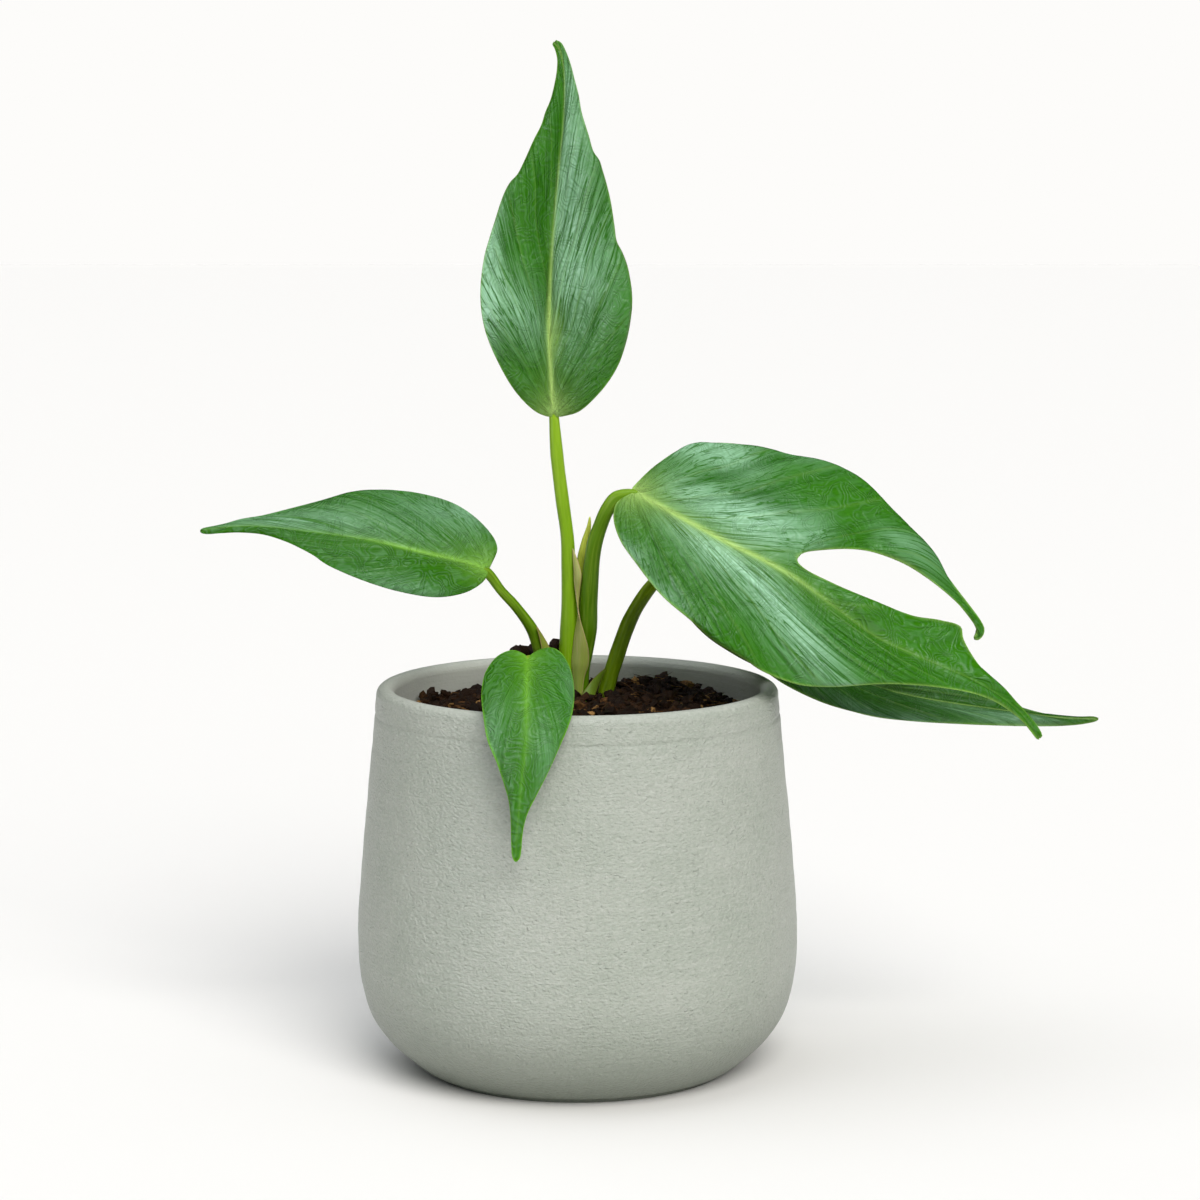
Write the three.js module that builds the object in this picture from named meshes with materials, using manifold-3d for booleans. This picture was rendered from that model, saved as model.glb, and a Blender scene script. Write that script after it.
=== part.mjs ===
// Potted flame monstera: a young aroid with five leaves in a round-bellied stoneware planter.
// Millimetres, +Z up. The origin is the centre of the pot's flat underside, and the plant is
// seen from the front when looking along +Y.

import * as THREE from 'three';
import { mergeVertices } from 'three/addons/utils/BufferGeometryUtils.js';
import Module from 'manifold-3d';

const wasm = await Module();
wasm.setup();

// Driving dimensions of the pot
const POT_HEIGHT = 132.8;
const BELLY_RADIUS = 76;
const BELLY_HEIGHT = 48;
const RIM_RADIUS = 69;
const MOUTH_RADIUS = 62.8;
const FOOT_RADIUS = 53.8;
const FOOT_HEIGHT = 2;
const FOOT_EDGE = 1.2;
const FLOOR_THICKNESS = 8;
const WALL_THICKNESS = 6.6;
const LIP_RADIUS = (RIM_RADIUS - MOUTH_RADIUS) / 2;
const POT_SEGMENTS = 48;
const POT_SIDE_STEPS = 12;
const HOLLOW_STEPS = 9;
const LEVEL_STEPS = 400;
const LEVEL_GAP = 0.5;
const LIP_STEPS = 6;

// The outer side from the foot to the rim's band and its crease, then the hollow from the floor to
// the mouth: radius and height of each point
const POT_SIDE = [
  [56.2, FOOT_HEIGHT], [61, 6], [67, 12], [72.3, 20.5], [75.4, 33], [BELLY_RADIUS, BELLY_HEIGHT],
  [74.75, 68], [72.6, 92], [69.8, 119],
];
const BAND_CREASE = [69.2, 123.5];
const HOLLOW_SIDE = [
  [46, FLOOR_THICKNESS], [60.5, 16], [69.2, 34], [BELLY_RADIUS - WALL_THICKNESS, BELLY_HEIGHT],
  [66.4, 92], [MOUTH_RADIUS, POT_HEIGHT - LIP_RADIUS],
];

// Driving dimensions of the planting
const CLEARANCE = 0.3;
const MERGE_DISTANCE = 1e-4;
const ZERO_LENGTH = 1e-9;
const SOIL_SIDE_GAP = 0.6;
const SOIL_EDGE_HEIGHT = 121.5;
const SOIL_CROWN = 4.5;
const SOIL_MOUND = { centre: [-14, 12], height: 17, spread: 8 };
const SOIL_RISE = { centre: [31, 37], height: 4.2, spread: 9 };
const LUMP_HEIGHT = 0.55;
// The lumps are two crossed waves, in radians to the millimetre, and fade out at the edge
const LUMP_WAVE = { x: 0.55, y: 0.61, start: 1.3 };
const SLANTED_WAVE = { x: 0.9, y: 0.8, strength: 0.6 };
const LUMP_FADE = 4;
const SOIL_RINGS = 10;
const SOIL_SEGMENTS = 40;
const BLADE_THICKNESS = 0.9;
const SHEATH_THICKNESS = 0.7;
const VEIN_LAG = 1.5;
const BLADE_STEPS = 18;
const HALF_BLADE_STEPS = 4;
const NEAR_STEPS = 9;
const FAR_STEPS = 14;
const SHEATH_STEPS = 14;
const STALK_STEPS = 16;
const STALK_SIDES = 10;
const CROWN_CENTRE = [0.5, 8.5];
const CROWN_RADIUS = 9.5;
const CROWN_TOP = 120.5;
const STALK_FOOT = 114;

// Each leaf: a stalk from its foot to the blade, the blade's midrib, and its two margins, all from
// the blade's base to its tip. The right margin is on the right when the tip points up.
const LEAVES = {
  upright: {
    stalk: {
      path: [
        [-3.6, 9.8, STALK_FOOT], [-3.9, 8.9, 125], [-4, 7.2, 141], [-3.6, 6.5, 156], [-3.3, 6, 170],
        [-3.6, 5.4, 182], [-5.2, 5, 196], [-7, 5, 211], [-8, 4.8, 223.4],
      ],
      radii: [2.6, 2.7, 2.6, 2.3, 2.2, 2.25, 2.2, 2.1, 1.9],
    },
    midrib: [
      [-8, 5, 224.2], [-9.5, 6, 238.5], [-9.6, 7, 252], [-9.2, 8.2, 266], [-8.5, 9.6, 280],
      [-7, 12, 299], [-4.7, 15, 322.5], [-4.2, 16.4, 337], [-5.2, 17, 346.5], [-7.6, 17, 351.2],
    ],
    left: [
      [-10, 4.6, 224.2], [-14.4, 3, 226.4], [-20.8, 1.5, 232.6], [-26.5, 0, 242.2], [-31.2, -1, 253.8],
      [-32.8, -0.5, 265.3], [-31.7, 2, 278.3], [-27.8, 5, 291.4], [-23.2, 8.2, 302], [-15.2, 12.5, 317.5],
      [-10, 15, 329.1], [-7.2, 16.5, 341.5], [-7.9, 17, 351.4],
    ],
    right: [
      [-5.8, 4.6, 224.2], [0.9, 2, 226.5], [7.7, 0, 232.7], [14.5, -1.5, 243.4], [18.2, -1.5, 257.6],
      [18.6, -1, 267], [16.6, 1, 277], [13.6, 3, 284.5], [11.4, 6, 297.5], [8.6, 9.5, 308],
      [1.6, 14, 327.4], [-0.9, 16, 338.5], [-3.6, 17, 347.6], [-7.4, 17, 351.4],
    ],
    arch: 0.06,
    colour: 0x2f7a2c,
  },
  left: {
    stalk: {
      path: [
        [-5.8, 3.4, STALK_FOOT], [-6.2, 3, 125], [-8.4, 2.2, 135], [-11.8, 0.8, 141.5], [-13.9, -0.4, 147.6],
        [-15.8, -1.6, 152.4], [-21.2, -3.4, 160.2], [-25.8, -4.4, 165.4], [-30.3, -5.3, 171.2],
      ],
      radii: [2.3, 2.4, 2.5, 2.4, 2.2, 2, 1.7, 1.6, 1.5],
    },
    midrib: [
      [-30.4, -5.2, 172.4], [-40, -7, 175.8], [-53, -8.5, 179], [-69, -9, 183], [-89.5, -8, 185.8],
      [-110, -5, 187], [-127.4, -2, 185.8],
    ],
    left: [
      [-30.7, -6.8, 171.4], [-32, -10, 169.4], [-37, -16, 166.7], [-47, -21, 165.6], [-60, -23, 167.9],
      [-73, -22, 171.9], [-87, -17, 180], [-98, -12, 183.9], [-110, -7, 186], [-127.4, -2.4, 185.6],
    ],
    right: [
      [-29.8, -3.6, 174], [-27.4, -1, 179.9], [-30.7, 4, 185.8], [-40.8, 9, 193.6], [-53.6, 11, 197.6],
      [-66, 10, 199], [-78, 7, 198.4], [-96.3, 3, 194.7], [-115.5, -1, 190.4], [-127.4, -1.6, 186.2],
    ],
    arch: 0.1,
    colour: 0x2f7433,
  },
  front: {
    stalk: {
      path: [
        [-1.4, 1.2, STALK_FOOT], [-2.4, -0.6, 123], [-4.2, -7, 130.5], [-7.6, -18, 137.5],
        [-11.5, -31, 143], [-15.6, -44.7, 148],
      ],
      radii: [1.8, 1.9, 1.9, 1.8, 1.7, 1.6],
    },
    midrib: [
      [-15.9, -45.6, 148.6], [-15.9, -58, 144.9], [-15.9, -69, 138.5], [-16, -79.5, 125.6],
      [-17.5, -83.5, 111.8], [-18.4, -84.8, 100], [-18.8, -84.4, 88.4],
    ],
    left: [
      [-14.6, -45.6, 148.8], [-12, -44, 150.8], [-8.4, -43.6, 151.7], [-5, -46, 150.4], [-1.8, -51.5, 146],
      [-0.4, -61, 139.8], [-1.4, -71.5, 133], [-4.8, -76.5, 125], [-8.6, -80, 117], [-12.7, -82.5, 109.3],
      [-16, -84, 101.5], [-18.5, -84.4, 88.4],
    ],
    right: [
      [-17.2, -45.6, 148.8], [-20.9, -44, 150.8], [-25.5, -45, 149.5], [-29.7, -50.5, 145.2],
      [-31, -60, 139.6], [-30, -71, 133], [-28.6, -75.5, 126.4], [-25.3, -79, 119],
      [-21, -82.5, 108.3], [-20, -84.3, 96], [-19.1, -84.4, 88.4],
    ],
    arch: 0.1,
    colour: 0x3c8630,
  },
  split: {
    stalk: {
      path: [
        [2.4, 8.2, STALK_FOOT], [2.5, 8.2, 125], [2.7, 7.9, 137], [3.6, 6.5, 147], [4.3, 4, 161],
        [5.2, 0.6, 175.5], [7.4, -3, 186.3], [10.4, -6, 193.8], [13.6, -7.3, 197.8], [17, -7.8, 199.4],
      ],
      radii: [2.7, 2.8, 2.8, 2.9, 2.9, 2.5, 2.4, 2.4, 2.3, 2.1],
    },
    midrib: [
      [19.2, -8.1, 199.6], [28.7, -13, 194.8], [49, -19, 184.3], [62.7, -22, 177.9], [73, -23.5, 172.2],
      [87, -25, 162.1], [100, -26, 152.8], [117, -27, 145.1], [134, -28, 137.5], [147, -28, 129],
      [155.6, -27, 118.7],
    ],
    // upper margin, which runs out to the hooked end of the long free finger
    left: [
      [18.6, -7.2, 201], [27.5, 0, 208.9], [35.8, 6, 213.5], [46.6, 11, 215.1], [57.4, 14, 214.2],
      [71.4, 15, 211], [85.4, 14, 208.3], [97.9, 11, 202.4], [108.4, 7, 192.4], [117.7, 3, 181.8],
      [128.6, -3, 167], [138.4, -9, 153.4], [136.6, -10, 150.2],
    ],
    right: [
      [18.4, -9.6, 198], [15.6, -11, 197.6], [13.2, -12.6, 196.2], [12.2, -15, 192], [14.2, -19, 185],
      [19.6, -24, 177.5], [28.4, -29, 167], [38, -33, 159.2], [46, -35.2, 152.4], [55.6, -36, 146.8],
      [61.5, -36, 142.8], [73.7, -35, 138], [84, -34, 137], [103.8, -33, 137.9], [121, -32, 136.6],
      [134, -31, 134], [141.6, -30, 130.6], [149.6, -28.5, 124.6], [155.4, -27.2, 118.5],
    ],
    // the slit: both of its borders start at its inner end
    slitStation: 0.53,
    slitShare: 0.125,
    fingerBorder: [
      [75.6, -19.4, 179.8], [81.5, -16.5, 180.7], [91.8, -13.5, 181], [99.2, -12, 180], [110.5, -10, 175.8],
      [119, -9, 170.5], [127.4, -8.6, 163.6], [134, -9, 157.9], [135.2, -9.6, 154.4], [135.4, -10, 150.4],
    ],
    tongueBorder: [
      [76.8, -22, 174], [86.3, -22.2, 169.1], [100, -21.6, 163.3], [113, -20.6, 159.5], [122, -20, 158],
      [129.4, -20, 155.6], [130.4, -21, 151.4], [134.4, -24, 144.3], [138, -25, 140.2], [147, -27, 131.2],
      [152, -27.4, 125.9], [155.8, -26.8, 119],
    ],
    arch: 0.09,
    colour: 0x2d7a35,
  },
  rear: {
    stalk: {
      path: [
        [6.6, 12.6, STALK_FOOT], [8.4, 15, 122], [10.6, 16, 130.5], [13.7, 16.5, 140.3], [18.2, 17, 152.5],
        [22.6, 17.6, 160.2], [27, 18.6, 165.6], [31, 19.4, 169.2],
      ],
      radii: [2.3, 2.4, 2.4, 2.3, 2.2, 2.1, 2, 1.9],
    },
    midrib: [
      [33, 20, 170.2], [43, 23, 160.6], [57, 26, 148], [74.6, 27, 138], [95.7, 26, 129.5],
      [120, 23, 123.8], [147.6, 18, 120.4], [168, 14, 118.2], [181.2, 12, 118.2],
    ],
    left: [
      [33.8, 21.6, 171], [43, 32, 169.6], [57.5, 42, 163.3], [75.6, 47, 155.5], [97, 47, 145.8],
      [116.4, 42, 136.4], [135.3, 34, 127.9], [154.8, 25, 121.9], [170.5, 16.4, 118.8], [181.2, 12.3, 118.4],
    ],
    right: [
      [32.4, 18.4, 169.8], [31.3, 15, 166.3], [35.4, 11, 158.4], [44, 8, 148.8], [54.3, 6, 142],
      [64.3, 5, 136.8], [71.8, 4.6, 131.8], [85, 4, 125.6], [98.3, 4.5, 121.8], [112.6, 6, 119.2],
      [134, 9, 117.3], [155.7, 11.6, 116.1], [174, 12.2, 115.6], [181.2, 11.7, 118],
    ],
    arch: 0.07,
    colour: 0x2a6f2c,
  },
};

// The rolled new growth and the three sheaths at the foot of the plant
const YOUNG_SPEAR = {
  path: [
    [-0.4, 13, STALK_FOOT], [-0.4, 12.8, 125], [0.4, 11.6, 142], [0.9, 10, 158], [1.3, 8.2, 170],
    [2.2, 6.6, 177], [3.3, 5.3, 183.6], [4.1, 4.4, 189.8],
  ],
  radii: [1.5, 1.6, 1.6, 1.6, 1.5, 1.3, 0.9, 0.3],
};
const SHEATHS = {
  dry_sheath: {
    left: [
      [-0.4, 4.6, 124], [-1, 4.5, 131], [-1.9, 3.8, 138.3], [-1.8, 3.4, 143], [-1.2, 2.8, 148],
      [-0.1, 3.2, 153.5], [0.4, 4.6, 158.5], [0.5, 5.2, 164], [0.2, 5.2, 170], [-0.9, 3.6, 177.6],
    ],
    right: [
      [2.2, 4.6, 124], [2.6, 4.4, 131], [4.3, 4, 137.6], [4.8, 3.2, 142], [4, 2.2, 145.8],
      [1.9, 0.4, 151.8], [0.6, 0.6, 158], [-0.3, 1.4, 162], [-1, 2.2, 171], [-1.3, 2.8, 177.8],
    ],
    colour: 0xb9ae7c,
  },
  left_stalk_sheath: {
    left: [
      [-10.6, -1.2, 134], [-11.9, -2.4, 140], [-12.4, -3.2, 146], [-13.2, -3.7, 150], [-14, -4.1, 153],
    ],
    right: [
      [-5.8, -1.2, 134], [-6.9, -1.2, 140], [-8.6, -1.4, 146], [-11.2, -2.6, 150], [-13.5, -3.9, 153],
    ],
    colour: 0x8a9a45,
  },
  rear_stalk_sheath: {
    left: [[-0.2, 2.6, 122.5], [0.6, 2.2, 127], [4.8, 4.8, 133], [9.4, 13.2, 136.2]],
    right: [[4.6, 3.2, 122.5], [5.6, 3.2, 127], [7.6, 7.6, 131.5], [9.8, 13.6, 135.8]],
    colour: 0x64812e,
  },
};

// The buried stem's thick roots, from the stem outwards and down
const ROOTS = [
  [[3, 7, 92], [18, 0, 82], [34, -12, 62], [41, -18, 38]],
  [[-2, 6, 90], [-14, -8, 80], [-24, -26, 58], [-26, -36, 34]],
  [[-3, 10, 88], [-20, 18, 76], [-36, 26, 54], [-42, 28, 32]],
  [[2, 12, 86], [10, 26, 72], [18, 40, 50], [16, 46, 28]],
  [[1, 5, 84], [6, -12, 68], [8, -30, 46], [2, -42, 24]],
];
const ROOT_RADII = [2.4, 2, 1.6, 1];
const ROOT_STEPS = 6;
const ROOT_SIDES = 6;

// The buried trunk from its cut lower end to its crown: radius and height of each point
const TRUNK_FOOT = 80;
const TRUNK_SEGMENTS = 18;
const TRUNK = [
  [0, 78], [4.5, TRUNK_FOOT], [6, 90], [7, 104], [CROWN_RADIUS, 111], [CROWN_RADIUS, 117],
  [7.4, CROWN_TOP], [0, 121.1],
];

// Colour and roughness of each kind of surface; blades and sheaths have colours of their own
const STONEWARE = material(0x9aa39a, 0.8);
const POTTING_MIX = material(0x3a271c, 0.95);
const ROOT_SKIN = material(0xb79a6a, 0.8);
const STALK_SKIN = material(0x5d8a2a, 0.45);
const YOUNG_SKIN = material(0xa9b53a, 0.5);
const BLADE_ROUGHNESS = 0.35;
const SHEATH_ROUGHNESS = 0.7;

function material(colour, roughness) {
  return new THREE.MeshStandardMaterial({ color: colour, roughness, metalness: 0 });
}

function vectors(points) {
  return points.map(([x, y, z]) => new THREE.Vector3(x, y, z));
}

function curveThrough(points) {
  return new THREE.CatmullRomCurve3(vectors(points), false, 'centripetal');
}

function solidFrom(geometry) {
  const bare = geometry.clone();
  bare.deleteAttribute('normal');
  bare.deleteAttribute('uv');
  const merged = mergeVertices(bare, MERGE_DISTANCE);
  return new wasm.Manifold(new wasm.Mesh({
    numProp: 3,
    vertProperties: new Float32Array(merged.attributes.position.array),
    triVerts: new Uint32Array(merged.index.array),
  }));
}

function geometryFrom(solid) {
  const mesh = solid.getMesh();
  const geometry = new THREE.BufferGeometry();
  geometry.setAttribute('position', new THREE.Float32BufferAttribute(mesh.vertProperties, 3));
  geometry.setIndex(Array.from(mesh.triVerts));
  return geometry;
}

function piece(name, geometry, look) {
  geometry.computeVertexNormals();
  const mesh = new THREE.Mesh(geometry, look);
  mesh.name = name;
  return mesh;
}

function mix(values, share) {
  const place = share * (values.length - 1);
  const low = Math.min(Math.floor(place), values.length - 2);
  return values[low] + (values[low + 1] - values[low]) * (place - low);
}

// A closed tapered tube along a curve; grow makes it fatter and longer all round
function taperedTube(points, radii, steps, sides, grow = 0) {
  const curve = curveThrough(points);
  const frames = curve.computeFrenetFrames(steps, false);
  const positions = [];
  const indices = [];
  for (let step = 0; step <= steps; step += 1) {
    const share = step / steps;
    const centre = curve.getPoint(curve.getUtoTmapping(share));
    if (step === 0) centre.addScaledVector(frames.tangents[0], -grow);
    if (step === steps) centre.addScaledVector(frames.tangents[steps], grow);
    const radius = mix(radii, curve.getUtoTmapping(share)) + grow;
    for (let side = 0; side < sides; side += 1) {
      const angle = (side / sides) * 2 * Math.PI;
      const rim = centre.clone()
        .addScaledVector(frames.normals[step], radius * Math.cos(angle))
        .addScaledVector(frames.binormals[step], radius * Math.sin(angle));
      positions.push(rim.x, rim.y, rim.z);
    }
  }
  for (let step = 0; step < steps; step += 1) {
    for (let side = 0; side < sides; side += 1) {
      const next = (side + 1) % sides;
      const a = step * sides + side;
      const b = step * sides + next;
      indices.push(a, b, b + sides, a, b + sides, a + sides);
    }
  }
  const last = steps * sides;
  for (let side = 1; side < sides - 1; side += 1) {
    indices.push(0, side + 1, side);
    indices.push(last, last + side, last + side + 1);
  }
  const geometry = new THREE.BufferGeometry();
  geometry.setAttribute('position', new THREE.Float32BufferAttribute(positions, 3));
  geometry.setIndex(indices);
  return geometry;
}

function evenSteps(from, to, steps) {
  return Array.from({ length: steps + 1 }, (_, step) => from + (to - from) * (step / steps));
}

// An open surface held as points and triangles; shared points are found by their place
class Sheet {
  constructor() {
    this.points = [];
    this.triangles = [];
    this.known = new Map();
  }

  point(place) {
    const key = [place.x, place.y, place.z].map((value) => value.toFixed(3)).join(' ');
    if (!this.known.has(key)) {
      this.known.set(key, this.points.length);
      this.points.push(place);
    }
    return this.known.get(key);
  }

  triangle(a, b, c) {
    if (a !== b && b !== c && a !== c) this.triangles.push([a, b, c]);
  }

  // surface(station, share) at the given stations, with share from 0 to 1 in equal rows; flip
  // turns the facing side round
  grid(surface, stations, rows, flip = false) {
    const index = stations.map((station) => evenSteps(0, 1, rows)
      .map((share) => this.point(surface(station, share))));
    for (let step = 0; step < stations.length - 1; step += 1) {
      for (let row = 0; row < rows; row += 1) {
        const [a, b] = [index[step][row], index[step + 1][row]];
        const [d, c] = [index[step][row + 1], index[step + 1][row + 1]];
        if (flip) {
          this.triangle(a, b, c);
          this.triangle(a, c, d);
        } else {
          this.triangle(a, c, b);
          this.triangle(a, d, c);
        }
      }
    }
  }

  // A closed solid: the surface moved half the thickness to each side, and a rim round its border
  thicken(thickness) {
    const normals = this.points.map(() => new THREE.Vector3());
    for (const [a, b, c] of this.triangles) {
      const one = this.points[b].clone().sub(this.points[a]);
      const two = this.points[c].clone().sub(this.points[a]);
      const normal = one.cross(two);
      for (const corner of [a, b, c]) normals[corner].add(normal);
    }
    const positions = [];
    for (const side of [0.5, -0.5]) {
      this.points.forEach((place, index) => {
        const moved = place.clone().addScaledVector(normals[index].clone().normalize(), side * thickness);
        positions.push(moved.x, moved.y, moved.z);
      });
    }
    const count = this.points.length;
    const indices = [];
    const edges = new Map();
    for (const [a, b, c] of this.triangles) {
      indices.push(a, b, c, a + count, c + count, b + count);
      for (const [from, to] of [[a, b], [b, c], [c, a]]) edges.set(`${from} ${to}`, [from, to]);
    }
    for (const [from, to] of edges.values()) {
      if (!edges.has(`${to} ${from}`)) {
        indices.push(from, from + count, to + count, from, to + count, to);
      }
    }
    const geometry = new THREE.BufferGeometry();
    geometry.setAttribute('position', new THREE.Float32BufferAttribute(positions, 3));
    geometry.setIndex(indices);
    return geometry;
  }
}

// A point between the midrib and a margin, lifted off the straight line between them by the arch
function across(root, rim, along, share, arch, right) {
  const side = rim.clone().sub(root);
  const facing = right ? side.clone().cross(along) : along.clone().cross(side);
  const lift = facing.length() > ZERO_LENGTH ? facing.normalize() : facing;
  return root.clone()
    .addScaledVector(side, share)
    .addScaledVector(lift, arch * side.length() * 4 * share * (1 - share));
}

// The side veins leave the midrib slowly near its base, where they fan out into the lobes
function midribShare(station) {
  return station ** VEIN_LAG;
}

function halfBlade(leaf, right) {
  const midrib = curveThrough(leaf.midrib);
  const margin = curveThrough(right ? leaf.right : leaf.left);
  return (station, share) => {
    const place = midribShare(station);
    return across(midrib.getPointAt(place), margin.getPointAt(station), midrib.getTangentAt(place),
      share, leaf.arch, right);
  };
}

function wholeBlade(leaf) {
  const sheet = new Sheet();
  const stations = evenSteps(0, 1, BLADE_STEPS);
  sheet.grid(halfBlade(leaf, false), stations, HALF_BLADE_STEPS, false);
  sheet.grid(halfBlade(leaf, true), stations, HALF_BLADE_STEPS, true);
  return sheet.thicken(BLADE_THICKNESS);
}

// The split half: whole as far as the slit's inner end, then a tongue beside the midrib and a
// free finger along the margin
function splitBlade(leaf) {
  const sheet = new Sheet();
  const whole = halfBlade(leaf, false);
  const midrib = curveThrough(leaf.midrib);
  const margin = curveThrough(leaf.left);
  const station = leaf.slitStation;
  const share = leaf.slitShare;
  const slitEnd = whole(station, share);
  const borderFrom = (points) => curveThrough([slitEnd.toArray(), ...points]);
  const tongueBorder = borderFrom(leaf.tongueBorder);
  const fingerBorder = borderFrom(leaf.fingerBorder);
  const near = evenSteps(0, station, NEAR_STEPS);
  const far = evenSteps(station, 1, FAR_STEPS);
  const part = (place) => (place - station) / (1 - station);

  sheet.grid((place, row) => whole(place, row * share), near, 1);
  sheet.grid((place, row) => whole(place, share + row * (1 - share)), near, HALF_BLADE_STEPS);
  sheet.grid((place, row) => {
    const root = midrib.getPointAt(midribShare(place));
    return root.lerp(tongueBorder.getPointAt(part(place)), row);
  }, far, 1);
  sheet.grid((place, row) => {
    const flat = fingerBorder.getPointAt(part(place)).lerp(margin.getPointAt(place), row);
    const straight = slitEnd.clone().lerp(margin.getPointAt(station), row);
    const bend = whole(station, share + row * (1 - share)).sub(straight);
    return flat.addScaledVector(bend, (1 - part(place)) ** 2);
  }, far, HALF_BLADE_STEPS);
  sheet.grid(halfBlade(leaf, true), [...near, ...far.slice(1)], HALF_BLADE_STEPS, true);
  return sheet.thicken(BLADE_THICKNESS);
}

function sheath(shape, grow = 0) {
  const left = curveThrough(shape.left);
  const right = curveThrough(shape.right);
  const sheet = new Sheet();
  sheet.grid((station, share) => {
    const [a, b] = [left.getPointAt(station), right.getPointAt(station)];
    const side = b.clone().sub(a);
    const width = side.length();
    side.normalize();
    const place = a.addScaledVector(side, share * width + (2 * share - 1) * grow);
    if (station === 0) place.z -= grow;
    return place;
  }, evenSteps(0, 1, SHEATH_STEPS), 2);
  return sheet.thicken(SHEATH_THICKNESS + 2 * grow);
}

function section(points) {
  return points.map(([radius, height]) => new THREE.Vector2(radius, height));
}

// Half the pot's section, from the middle of the underside round the lip and back to the axis
function potProfile() {
  const outer = new THREE.SplineCurve(section(POT_SIDE));
  const lipCentre = new THREE.Vector2(MOUTH_RADIUS + LIP_RADIUS, POT_HEIGHT - LIP_RADIUS);
  const points = section([[0, 0], [FOOT_RADIUS, 0], [FOOT_RADIUS, FOOT_EDGE]]);
  points.push(...outer.getPoints(POT_SIDE_STEPS));
  points.push(...section([BAND_CREASE, [RIM_RADIUS, lipCentre.y]]));
  for (const share of evenSteps(0, 1, LIP_STEPS).slice(1, -1)) {
    const angle = share * Math.PI;
    points.push(new THREE.Vector2(
      lipCentre.x + LIP_RADIUS * Math.cos(angle),
      lipCentre.y + LIP_RADIUS * Math.sin(angle),
    ));
  }
  points.push(...insideProfile(POT_HEIGHT - LIP_RADIUS).reverse());
  points.push(new THREE.Vector2(0, FLOOR_THICKNESS));
  return points;
}

// The hollow's side from the floor up to a height, moved in by a gap
function insideProfile(top, gap = 0) {
  const side = section(HOLLOW_SIDE);
  side[0].y += gap;
  const inside = new THREE.SplineCurve(side);
  const points = inside.getPoints(HOLLOW_STEPS).filter((point) => point.y < top - LEVEL_GAP);
  const above = inside.getPoints(LEVEL_STEPS).find((point) => point.y >= top) ?? inside.getPoint(1);
  points.push(new THREE.Vector2(above.x, top));
  return points.map((point) => new THREE.Vector2(point.x - gap, point.y));
}

function heap(x, y, { centre, height, spread }) {
  const [dx, dy] = [x - centre[0], y - centre[1]];
  return height * Math.exp(-(dx * dx + dy * dy) / (2 * spread * spread));
}

// Height of the potting mix: crowned in the middle, heaped behind the left stalk, and lumpy
function soilHeight(x, y, edgeRadius) {
  const share = Math.min(Math.hypot(x, y) / edgeRadius, 1);
  const inner = 1 - share ** 2;
  const waves = Math.sin(x * LUMP_WAVE.x + LUMP_WAVE.start) * Math.cos(y * LUMP_WAVE.y);
  const slanted = Math.sin(x * SLANTED_WAVE.x - y * SLANTED_WAVE.y);
  const lumps = waves + SLANTED_WAVE.strength * slanted;
  return SOIL_EDGE_HEIGHT + SOIL_CROWN * inner
    + heap(x, y, SOIL_MOUND)
    + heap(x, y, SOIL_RISE)
    + LUMP_HEIGHT * lumps * Math.min(inner * LUMP_FADE, 1);
}

function soilGeometry() {
  const side = insideProfile(SOIL_EDGE_HEIGHT, SOIL_SIDE_GAP);
  const edge = side.at(-1);
  const rings = [];
  rings.push(...side.map((point) => ({ radius: point.x, height: () => point.y })));
  for (let ring = SOIL_RINGS - 1; ring > 0; ring -= 1) {
    rings.push({
      radius: edge.x * (ring / SOIL_RINGS),
      height: (x, y) => soilHeight(x, y, edge.x),
    });
  }
  const positions = [0, 0, side[0].y];
  for (const ring of rings) {
    for (let segment = 0; segment < SOIL_SEGMENTS; segment += 1) {
      const angle = ((segment + 0.5) / SOIL_SEGMENTS) * 2 * Math.PI;
      const [x, y] = [ring.radius * Math.cos(angle), ring.radius * Math.sin(angle)];
      positions.push(x, y, ring.height(x, y));
    }
  }
  const top = positions.length / 3;
  positions.push(0, 0, soilHeight(0, 0, edge.x));
  const indices = [];
  const at = (ring, segment) => 1 + ring * SOIL_SEGMENTS + (segment % SOIL_SEGMENTS);
  for (let segment = 0; segment < SOIL_SEGMENTS; segment += 1) {
    indices.push(0, at(0, segment + 1), at(0, segment));
    for (let ring = 0; ring < rings.length - 1; ring += 1) {
      const [a, b] = [at(ring, segment), at(ring, segment + 1)];
      const [d, c] = [at(ring + 1, segment), at(ring + 1, segment + 1)];
      indices.push(a, b, c, a, c, d);
    }
    indices.push(top, at(rings.length - 1, segment), at(rings.length - 1, segment + 1));
  }
  const geometry = new THREE.BufferGeometry();
  geometry.setAttribute('position', new THREE.Float32BufferAttribute(positions, 3));
  geometry.setIndex(indices);
  return geometry;
}

// The buried stem: a short upright trunk with a swollen crown, and its roots
function rootstockSolid(grow = 0) {
  const profile = section(TRUNK);
  for (const point of profile) {
    if (point.x > 0) point.x += grow;
    if (point.y <= TRUNK_FOOT) point.y -= grow;
    if (point.y >= CROWN_TOP) point.y += grow;
  }
  const trunk = new THREE.LatheGeometry(profile, TRUNK_SEGMENTS);
  trunk.rotateX(Math.PI / 2);
  trunk.translate(CROWN_CENTRE[0], CROWN_CENTRE[1], 0);
  let solid = solidFrom(trunk);
  for (const root of ROOTS) {
    solid = solid.add(solidFrom(taperedTube(root, ROOT_RADII, ROOT_STEPS, ROOT_SIDES, grow)));
  }
  return solid;
}

function stalkGeometry(stalk, grow = 0) {
  return taperedTube(stalk.path, stalk.radii, STALK_STEPS, STALK_SIDES, grow);
}

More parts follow.
